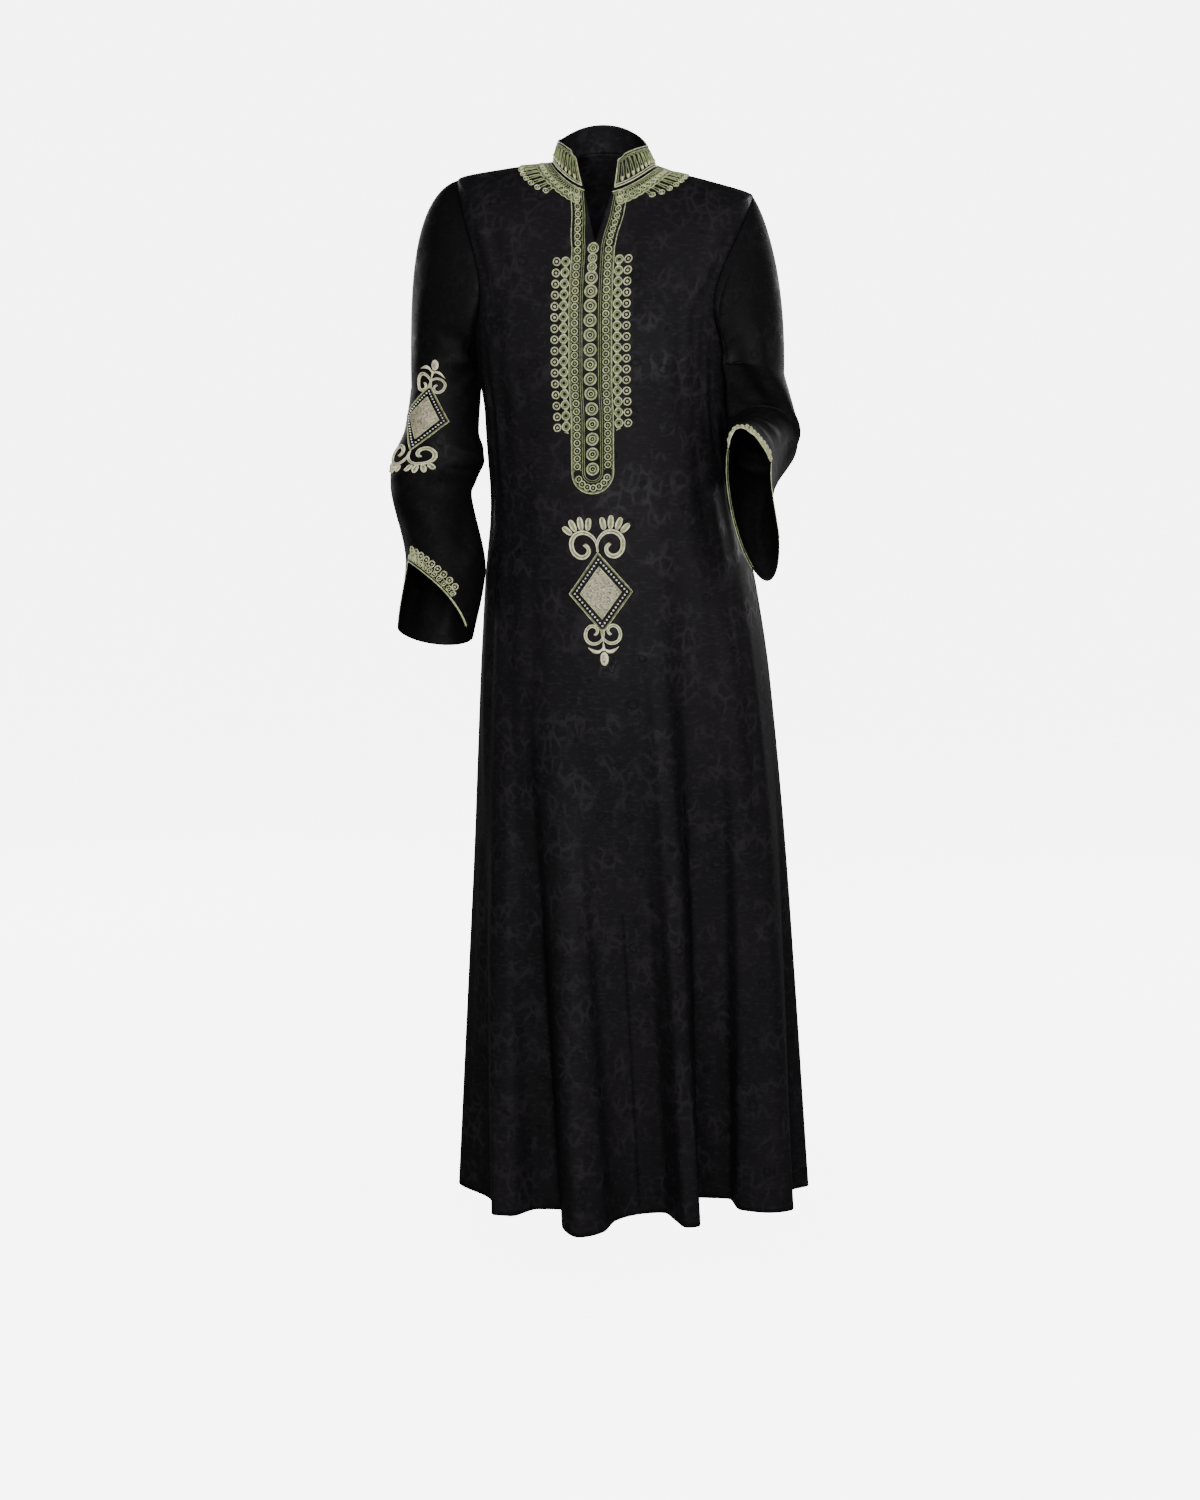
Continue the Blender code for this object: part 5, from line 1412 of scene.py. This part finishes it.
def jacquard(name, figure, depth):
    """Black cloth with faint veins round leaf-shaped cells, small rings and a fine weave. The veins are
    smoother, and their lighter colour is painted sheen on the woven figure.

    figure is the strength of the woven figure, and depth scales the colours.
    """
    material, tree, shader = nodes_of(name)

    def math_of(operation, a, b):
        return calculate(tree, operation, a, b)

    def shade(colour):
        return (*(value * depth for value in colour), 1)

    place = add_node(tree, "TexCoord").outputs["Object"]
    wander = noise(tree, place, 55.0, 2.0, "Color")
    shift = add_node(tree, "VectorMath", {1: (0.5, 0.5, 0.5)}, operation="SUBTRACT")
    scaled = add_node(tree, "VectorMath", {"Scale": 0.013}, operation="SCALE")
    wander = linked(tree, linked(tree, wander, shift, 0), scaled, 0)
    bend = add_node(tree, "VectorMath", operation="ADD")
    tree.links.new(place, bend.inputs[0])
    bent = linked(tree, wander, bend, 1)
    leaves = stretched(tree, bent, (1.0, 1.0, 0.62))
    edges = cells(tree, leaves, 74.0, 0.95, "DISTANCE_TO_EDGE", "Distance")
    seen = ramp(tree, noise(tree, place, 34.0, 3.0), 0.44, 0.66, 0.0, 1.0)
    veins = math_of("MULTIPLY", ramp(tree, edges, 0.010, 0.200, figure, 0.0), seen)
    spots = cells(tree, bent, 27.0, 1.0, "F1", "Distance")
    away = math_of("ABSOLUTE", math_of("SUBTRACT", spots, 0.150), 0.0)
    rings = ramp(tree, away, 0.010, 0.050, 1.0, 0.0)
    strokes = noise(tree, stretched(tree, place, (1.0, 1.0, 2.6)), 120.0, 3.0)
    weave = noise(tree, place, 1500.0, 2.0)
    clouds = noise(tree, place, 5.0, 3.0)
    # Painted sheen: soft random patches of the ground are mixed towards a lighter colour.
    tone = mixed(tree, ramp(tree, clouds, 0.3, 0.7, 0.0, 1.0), shade(CLOTH_DARK), shade(CLOTH_PAINTED_SHEEN))
    for share, colour in (
        (ramp(tree, strokes, 0.52, 0.70, 0.0, 0.55 * figure), STROKE_TONE),
        # Painted sheen: the veins of the woven figure are mixed towards a lighter colour.
        (math_of("MULTIPLY", veins, 0.7), VEIN_FIGURE_AND_SHEEN_TONE),
        (math_of("MULTIPLY", rings, 0.7 * figure), RING_TONE),
        (ramp(tree, weave, 0.35, 0.7, 0.0, 0.35), GRAIN_TONE),
    ):
        tone = mixed(tree, share, tone, shade(colour))
    tree.links.new(tone, shader.inputs["Base Color"])
    rough = math_of("SUBTRACT", CLOTH_ROUGHNESS, math_of("MULTIPLY", veins, 0.20))
    rough = math_of("ADD", rough, math_of("MULTIPLY", rings, 0.10))
    tree.links.new(rough, shader.inputs["Roughness"])
    relief = math_of("ADD", math_of("MULTIPLY", veins, 0.5), math_of("MULTIPLY", weave, 0.35))
    relief = math_of("ADD", relief, math_of("MULTIPLY", strokes, 0.6))
    relief = math_of("SUBTRACT", relief, math_of("MULTIPLY", rings, 0.4))
    bumped(tree, shader, relief, 0.5, 0.0006)
    shader.inputs["Specular IOR Level"].default_value = CLOTH_SPECULAR
    return material


def glitter():
    """Metal thread in small grains of differing brightness and tint."""
    material, tree, shader = nodes_of("silver_thread")
    place = add_node(tree, "TexCoord").outputs["Object"]
    grains = cells(tree, place, 620.0, 1.0, "F1", "Color")
    tint = add_node(tree, "SeparateColor")
    bright = linked(tree, grains, tint, 0)
    tone = mixed(tree, bright, (0.080, 0.070, 0.045, 1), (0.700, 0.640, 0.500, 1))
    for channel, colour in ((1, (0.500, 0.330, 0.290, 1)), (2, (0.360, 0.420, 0.190, 1))):
        tone = mixed(tree, ramp(tree, tint.outputs[channel], 0.5, 0.9, 0.0, 0.55), tone, colour)
    tree.links.new(tone, shader.inputs["Base Color"])
    bumped(tree, shader, bright, 0.6, 0.0005)
    shader.inputs["Roughness"].default_value = 0.42
    shader.inputs["Specular IOR Level"].default_value = 0.5
    return material


def thread(name, dark, light, roughness, glint):
    """Satin thread: fine stitches across each strand, and a colour that varies along it."""
    material, tree, shader = nodes_of(name)
    marks = add_node(tree, "UVMap", uv_map="thread").outputs["UV"]
    wave = {"Scale": 430.0, "Distortion": 1.2, "Detail": 1.0, "Detail Scale": 0.6}
    stitches = linked(tree, marks, add_node(tree, "TexWave", wave), "Vector", "Fac")
    clouds = noise(tree, add_node(tree, "TexCoord").outputs["Object"], 260.0, 2.0)
    share = calculate(
        tree, "MULTIPLY",
        ramp(tree, clouds, 0.3, 0.7, 0.25, 1.0), ramp(tree, stitches, 0.0, 0.8, 0.55, 1.0),
    )
    tree.links.new(mixed(tree, share, dark, light), shader.inputs["Base Color"])
    rough = ramp(tree, clouds, 0.3, 0.7, roughness + 0.08, roughness - 0.06)
    tree.links.new(rough, shader.inputs["Roughness"])
    bumped(tree, shader, stitches, 0.55, 0.0003)
    shader.inputs["Specular IOR Level"].default_value = glint
    shader.inputs["Sheen Weight"].default_value = 0.12
    return material


# Each thread but the silver one: dark and light colours, roughness and glint.
THREADS_OF = (
    ("green_thread", (0.062, 0.082, 0.026, 1), (0.350, 0.400, 0.185, 1), 0.46, 0.4),
    ("pale_green_thread", (0.150, 0.175, 0.068, 1), (0.710, 0.745, 0.420, 1), 0.44, 0.45),
    ("cream_thread", (0.400, 0.370, 0.220, 1), (0.970, 0.925, 0.650, 1), 0.38, 0.6),
    ("white_thread", (0.700, 0.680, 0.610, 1), (0.960, 0.950, 0.900, 1), 0.40, 0.5),
)
# The front motif's middle on the front's chart.
FRONT_MOTIF_X, FRONT_MOTIF_Z = -0.0012, -0.4952


def dress(piece, nodes):
    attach(piece, "root")
    if nodes:
        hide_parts(*nodes)
    return piece


def motif_nodes(prefix):
    scrolls = [f"{size}_scroll_{hand}" for size in ("large", "small") for hand in ("right", "left")]
    return [f"{prefix}_motif_{end}" for end in ("diamond", *scrolls)]


def build_dress():
    cloth = jacquard("black_jacquard_cloth", 1.0, 0.68)
    sleeve_cloth = jacquard("black_sleeve_cloth", 0.5, 0.38)
    threads = [thread(*values) for values in THREADS_OF]
    threads.insert(SILVER, glitter())
    front_chart = chart_of(body_point, body_lift, front_place)
    yoke_chart = chart_of(body_point, body_lift, yoke_place)
    tables = {-1: RIGHT_SLEEVE, 1: LEFT_SLEEVE}

    def walled(name, grids, material, node):
        return dress(cloth_object(name, grids, material), [node])

    def worked(stitches, name, chart, nodes):
        return dress(stitches.finish(name, chart, threads), nodes)

    def motif_chart(x, z):
        return front_chart(x - FRONT_MOTIF_X, z + FRONT_MOTIF_Z)

    def sleeve_chart(side, *place):
        return chart_of(
            lambda run, around: sleeve_point(tables[side], side, run, around),
            lambda run, around: sleeve_lift(side, run, around),
            sleeve_place(side, *place),
        )

    front = walled("front_cloth", front_grids(), cloth, "front_panel")
    back = walled("back_cloth", back_grids(), cloth, "back_panel")
    collar_points = collar_grid(neck_row())
    collar = walled("collar_cloth", [collar_points], cloth, "collar")
    braids = ["placket_braid"]
    braids += [f"{name}_{hand}" for name in ("placket_wing", "slit_braid") for hand in ("right", "left")]
    on_front = [
        worked(placket(), "placket_embroidery", front_chart, braids),
        worked(yoke(), "yoke_embroidery", yoke_chart, ["neck_band"]),
        worked(motif(1), "front_motif", motif_chart, motif_nodes("front")),
    ]
    along = length_along(collar_points[COLLAR_ROWS // 2])
    heights = np.linalg.norm(collar_points[-1] - collar_points[0], axis=1)
    normals = grid_normals(collar_points)

    def collar_height(x):
        return np.interp(x, along, heights)

    def collar_chart(x, h):
        column = np.interp(x, along, np.arange(len(along)))
        row = h / collar_height(x) * COLLAR_ROWS
        return bilinear(collar_points, row, column), unit(bilinear(normals, row, column))

    stitches = collar_threads(along[-1], collar_height)
    on_collar = worked(stitches, "collar_embroidery", collar_chart, [])
    for side, name, middle, turn, flat, area in (
        (-1, "right", RIGHT_SLEEVE_MOTIF, SLEEVE_MOTIF_TURN, (0.36, 0.60), 0.16),
        (1, "left", LEFT_SLEEVE_MOTIF, -SLEEVE_MOTIF_TURN, (0.34, 0.52), 0.12),
    ):
        grids = sleeve_grids(tables[side], side)
        sleeve = walled(f"{name}_sleeve_cloth", grids, sleeve_cloth, f"sleeve_{name}")
        chart = sleeve_chart(side, middle, turn, SLEEVE_MOTIF_LENGTH_SHARE)
        badge = worked(motif(-1), f"{name}_sleeve_motif", chart, motif_nodes(f"{name}_sleeve"))
        chart = sleeve_chart(side, (0.0, 0.0), 0.0, 1.0)
        stitches = cuff_threads(side, tables[side])
        cuff = worked(stitches, f"{name}_cuff_embroidery", chart, [f"cuff_braid_{name}"])


def build_stage():
    """A plain pale floor that runs up into walls, and soft light mostly from the front."""
    corners = [
        (x * FLOOR_HALF, y * FLOOR_HALF, z)
        for z in (FLOOR_Z, WALL_TOP_Z) for x, y in ((-1, -1), (1, -1), (1, 1), (-1, 1))
    ]
    mesh = bpy.data.meshes.new("floor")
    walls = [(k, k + 4, (k + 1) % 4 + 4, (k + 1) % 4) for k in range(4)]
    mesh.from_pydata(corners, [], [(0, 1, 2, 3), *walls])
    floor = in_scene("floor", mesh)
    material, _, shader = nodes_of("floor")
    for key, value in (
        ("Base Color", (0.80, 0.80, 0.80, 1)),
        ("Roughness", 1.0),
        ("Specular IOR Level", 0.0),
        ("Emission Color", (1.0, 1.0, 1.0, 1)),
        ("Emission Strength", FLOOR_GLOW),
    ):
        shader.inputs[key].default_value = value
    mesh.materials.append(material)
    floor.visible_diffuse = floor.visible_glossy = floor.visible_shadow = False
    world = bpy.data.worlds.new("studio")
    world.use_nodes = True
    background = world.node_tree.nodes["Background"]
    background.inputs["Color"].default_value = (1.0, 1.0, 1.0, 1)
    background.inputs["Strength"].default_value = WORLD_STRENGTH
    bpy.context.scene.world = world
    for name, where, size, power in LIGHTS:
        data = bpy.data.lights.new(name, "AREA")
        data.size = size
        data.energy = power
        light = in_scene(name, data)
        light.location = where
        light.rotation_euler = (LIGHT_AIM - light.location).to_track_quat("-Z", "Y").to_euler()


place_camera()
build_dress()
build_stage()
bpy.context.view_layer.update()
